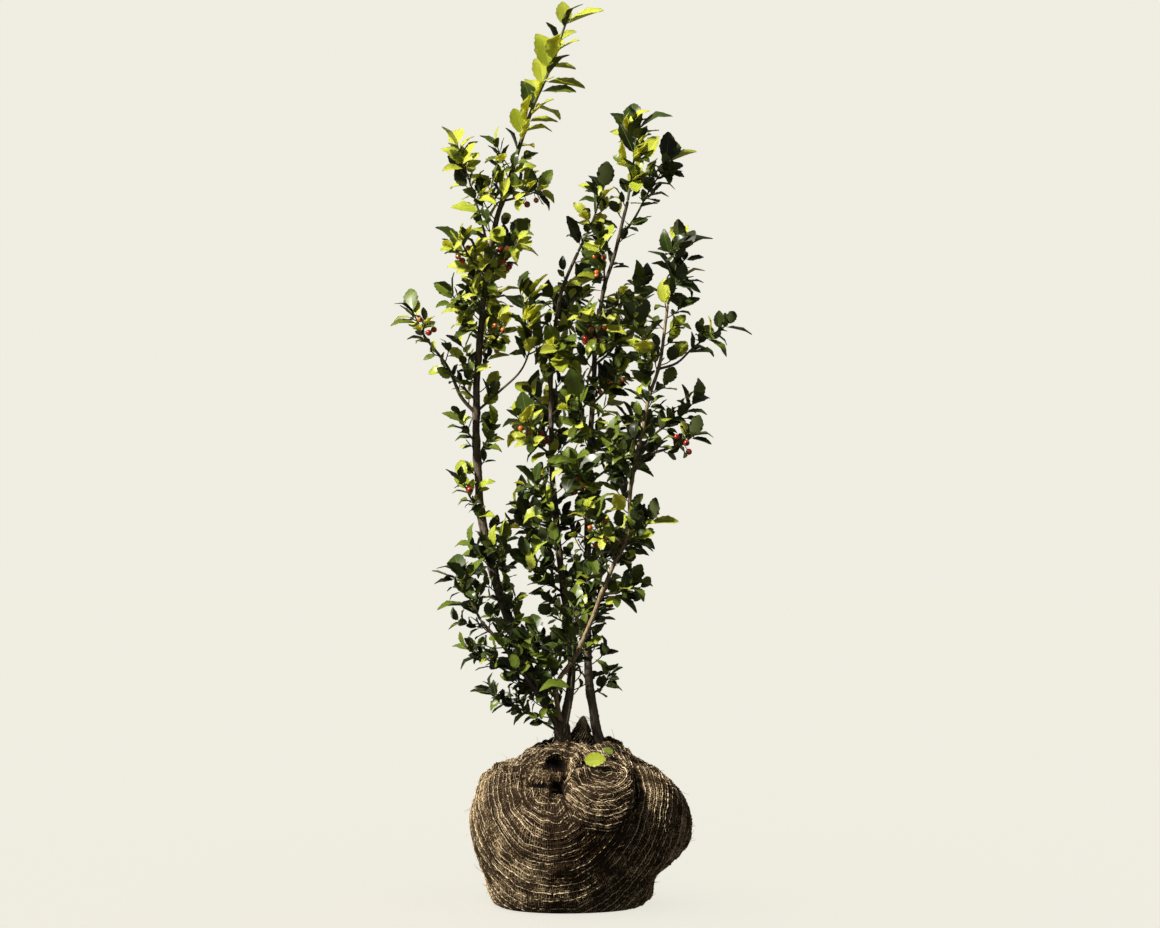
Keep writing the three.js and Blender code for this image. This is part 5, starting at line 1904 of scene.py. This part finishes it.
class HOLLY_OT_leaves(bpy.types.Operator):
    """Build the leaves, one joined piece for each part of the crown"""

    bl_idname = "holly.leaves"
    bl_label = "Leaves"

    def execute(self, context):
        colours, glow = context.scene.holly_colours, context.scene.holly_foliage.glow
        finishes = [
            (leaf_finish(name, getattr(colours, colour), roughness, glow * share), *worn)
            for name, colour, roughness, share, *worn in LEAF_FINISHES
        ]
        tree = scatter_tree("leaf_spray", finishes)
        for region, limbs in REGIONS.items():
            growths = [growth for growth in plant_of(context) if growth.limb in limbs]
            leaves = [leaf for growth in growths for leaf in growth.leaves]
            if region == "front":
                leaves += fallen_leaves()
            shapes = [leaf_mesh(shape) for shape in LEAF_SHAPES]
            mesh = scattered(region + "_leaves", leaves, shapes, tree, finishes)
            shown(region + "_leaves", mesh, "leaf_dark", *[growth.mass for growth in growths if growth.mass])
        return {"FINISHED"}


class HOLLY_OT_berries(bpy.types.Operator):
    """Build the berries"""

    bl_idname = "holly.berries"
    bl_label = "Berries"

    def execute(self, context):
        colours = context.scene.holly_colours
        finishes = [
            (berry_finish(name, getattr(colours, colour)), *worn) for name, colour, *worn in BERRY_FINISHES
        ]
        rows = []
        for berry in [berry for growth in plant_of(context) for berry in growth.berries]:
            away = unit(berry.middle - berry.root)
            size = BERRY_RADIUS * lerp(*BERRY_SIZES, berry.ripeness)
            tint = (berry.ripeness >= TURNING) + (berry.ripeness >= RIPE)
            rows.append((berry.middle, cross_axes(away)[0], -away, size, 0, tint))
        tree = scatter_tree("berry_spray", finishes)
        shown("berries", scattered("berries", rows, [berry_mesh()], tree, finishes), "leaf_young")
        return {"FINISHED"}


class HOLLY_OT_root_ball(bpy.types.Operator):
    """Build the root ball in its jute cloth"""

    bl_idname = "holly.root_ball"
    bl_label = "Root Ball"

    def execute(self, context):
        cloth = soil_and_shade_cloth_finish("soiled_cloth", context.scene.holly_colours)
        shown("jute_cloth", ball_mesh(cloth), "jute", "root_ball")
        shown("jute_ear", ear_mesh(cloth), "jute")
        return {"FINISHED"}


class HOLLY_OT_yarns(bpy.types.Operator):
    """Lay the threads and the heavier yarns of the net over the cloth"""

    bl_idname = "holly.yarns"
    bl_label = "Yarns"

    def execute(self, context):
        colours, ball = context.scene.holly_colours, context.scene.holly_ball
        bright = yarn_finish("jute_yarn", colours.straw_dark, colours.straw, 0.40, 0.58)
        dull = yarn_finish("jute_thread", colours.straw_dark, colours.straw_grey, 0.45, 0.62)
        thin, heavy = arc_threads(ball.thread_gap / MM, ball.yarn_every)
        for name, lines, finish, sides in (
            ("jute_yarns", heavy, bright, 4),
            ("jute_arcs", thin, dull, 3),
            ("jute_rays", ray_threads(), dull, 3),
            ("jute_fibres", loose_fibres(ball.fibres) + ear_threads(), bright, 3),
        ):
            shown(name, strands(name, lines, finish, sides), "jute")
        return {"FINISHED"}


# ---- stage ----

FLOOR_HALF = 12.0  # metres
FLOOR_DROP = 0.0002


def placed(name, data, scene):
    thing = bpy.data.objects.new(name, data)
    scene.collection.objects.link(thing)
    return thing


def backdrop(colour, fill_colour, fill):
    """A pale backdrop for the camera, and an even weak fill for everything else."""
    world = bpy.data.worlds.new("backdrop")
    world.use_nodes = True
    world.node_tree.nodes.clear()
    tree = Tree(world.node_tree)
    seen = tree.wire("ShaderNodeBackground", None, {"Color": opaque(colour), "Strength": 1.0})
    lit = tree.wire("ShaderNodeBackground", None, {"Color": opaque(fill_colour), "Strength": fill})
    is_seen = tree.wire("ShaderNodeLightPath", None, None, "Is Camera Ray")
    both = tree.wire("ShaderNodeMixShader", None, {0: is_seen, 1: lit, 2: seen})
    tree.node("ShaderNodeOutputWorld", None, {"Surface": both})
    return world


class HOLLY_OT_stage(bpy.types.Operator):
    """Set the floor, the light and the camera"""

    bl_idname = "holly.stage"
    bl_label = "Stage"

    def execute(self, context):
        scene = context.scene
        settings, colours = scene.holly_stage, scene.holly_colours
        mesh = bpy.data.meshes.new("floor")
        ways = ((-1, -1), (1, -1), (1, 1), (-1, 1))
        mesh.from_pydata([(x * FLOOR_HALF, y * FLOOR_HALF, -FLOOR_DROP) for x, y in ways], [], [range(4)])
        mesh.materials.append(floor_finish("floor", colours.floor, settings.floor_glow))
        floor = placed("floor", mesh, scene)
        floor.visible_diffuse = floor.visible_glossy = False

        key = bpy.data.lights.new("key", "SUN")
        key.energy, key.angle, key.color = settings.key_strength, settings.key_size, colours.key
        lamp = placed("key", key, scene)
        lamp.rotation_euler = Vector(KEY_FROM).to_track_quat("Z", "Y").to_euler()
        unlit = bpy.data.collections.new("lit_by_fill_only")
        unlit.objects.link(floor)
        lamp.light_linking.receiver_collection = unlit
        unlit.collection_objects[0].light_linking.link_state = "EXCLUDE"
        scene.world = backdrop(colours.floor, colours.fill, settings.fill)

        camera = bpy.data.cameras.new("camera")
        camera.lens, camera.sensor_width, camera.sensor_fit = settings.lens, 36.0, "HORIZONTAL"
        scene.camera = placed("camera", camera, scene)
        scene.camera.location = (0, -settings.camera_gap, settings.camera_height)
        scene.camera.rotation_euler = (math.pi / 2, 0, 0)
        scene.view_settings.view_transform = "Standard"
        return {"FINISHED"}


# ---- panel and registration ----

BUILD_ORDER = ("limbs", "twigs", "leaves", "berries", "root_ball", "yarns", "stage")

SETTINGS = {
    "holly_foliage": HollyFoliageSettings,
    "holly_ball": HollyBallSettings,
    "holly_colours": HollyColourSettings,
    "holly_stage": HollyStageSettings,
}


class HOLLY_PT_panel(bpy.types.Panel):
    """Lists the pieces of the holly shrub and their settings"""

    bl_idname = "HOLLY_PT_panel"
    bl_label = "Holly Shrub"
    bl_space_type = "VIEW_3D"
    bl_region_type = "UI"
    bl_category = "Holly"

    def draw(self, context):
        for name in BUILD_ORDER:
            self.layout.operator("holly." + name)
        for group in SETTINGS:
            box, settings = self.layout.box(), getattr(context.scene, group)
            for name in SETTINGS[group].__annotations__:
                box.prop(settings, name)


CLASSES = (
    *SETTINGS.values(),
    HOLLY_OT_limbs,
    HOLLY_OT_twigs,
    HOLLY_OT_leaves,
    HOLLY_OT_berries,
    HOLLY_OT_root_ball,
    HOLLY_OT_yarns,
    HOLLY_OT_stage,
    HOLLY_PT_panel,
)


def register():
    for cls in CLASSES:
        bpy.utils.register_class(cls)
    for name, cls in SETTINGS.items():
        setattr(bpy.types.Scene, name, PointerProperty(type=cls))


def unregister():
    for name in SETTINGS:
        delattr(bpy.types.Scene, name)
    for cls in reversed(CLASSES):
        bpy.utils.unregister_class(cls)


def main():
    register()
    for name in BUILD_ORDER:
        getattr(bpy.ops.holly, name)()


if __name__ == "__main__":
    main()
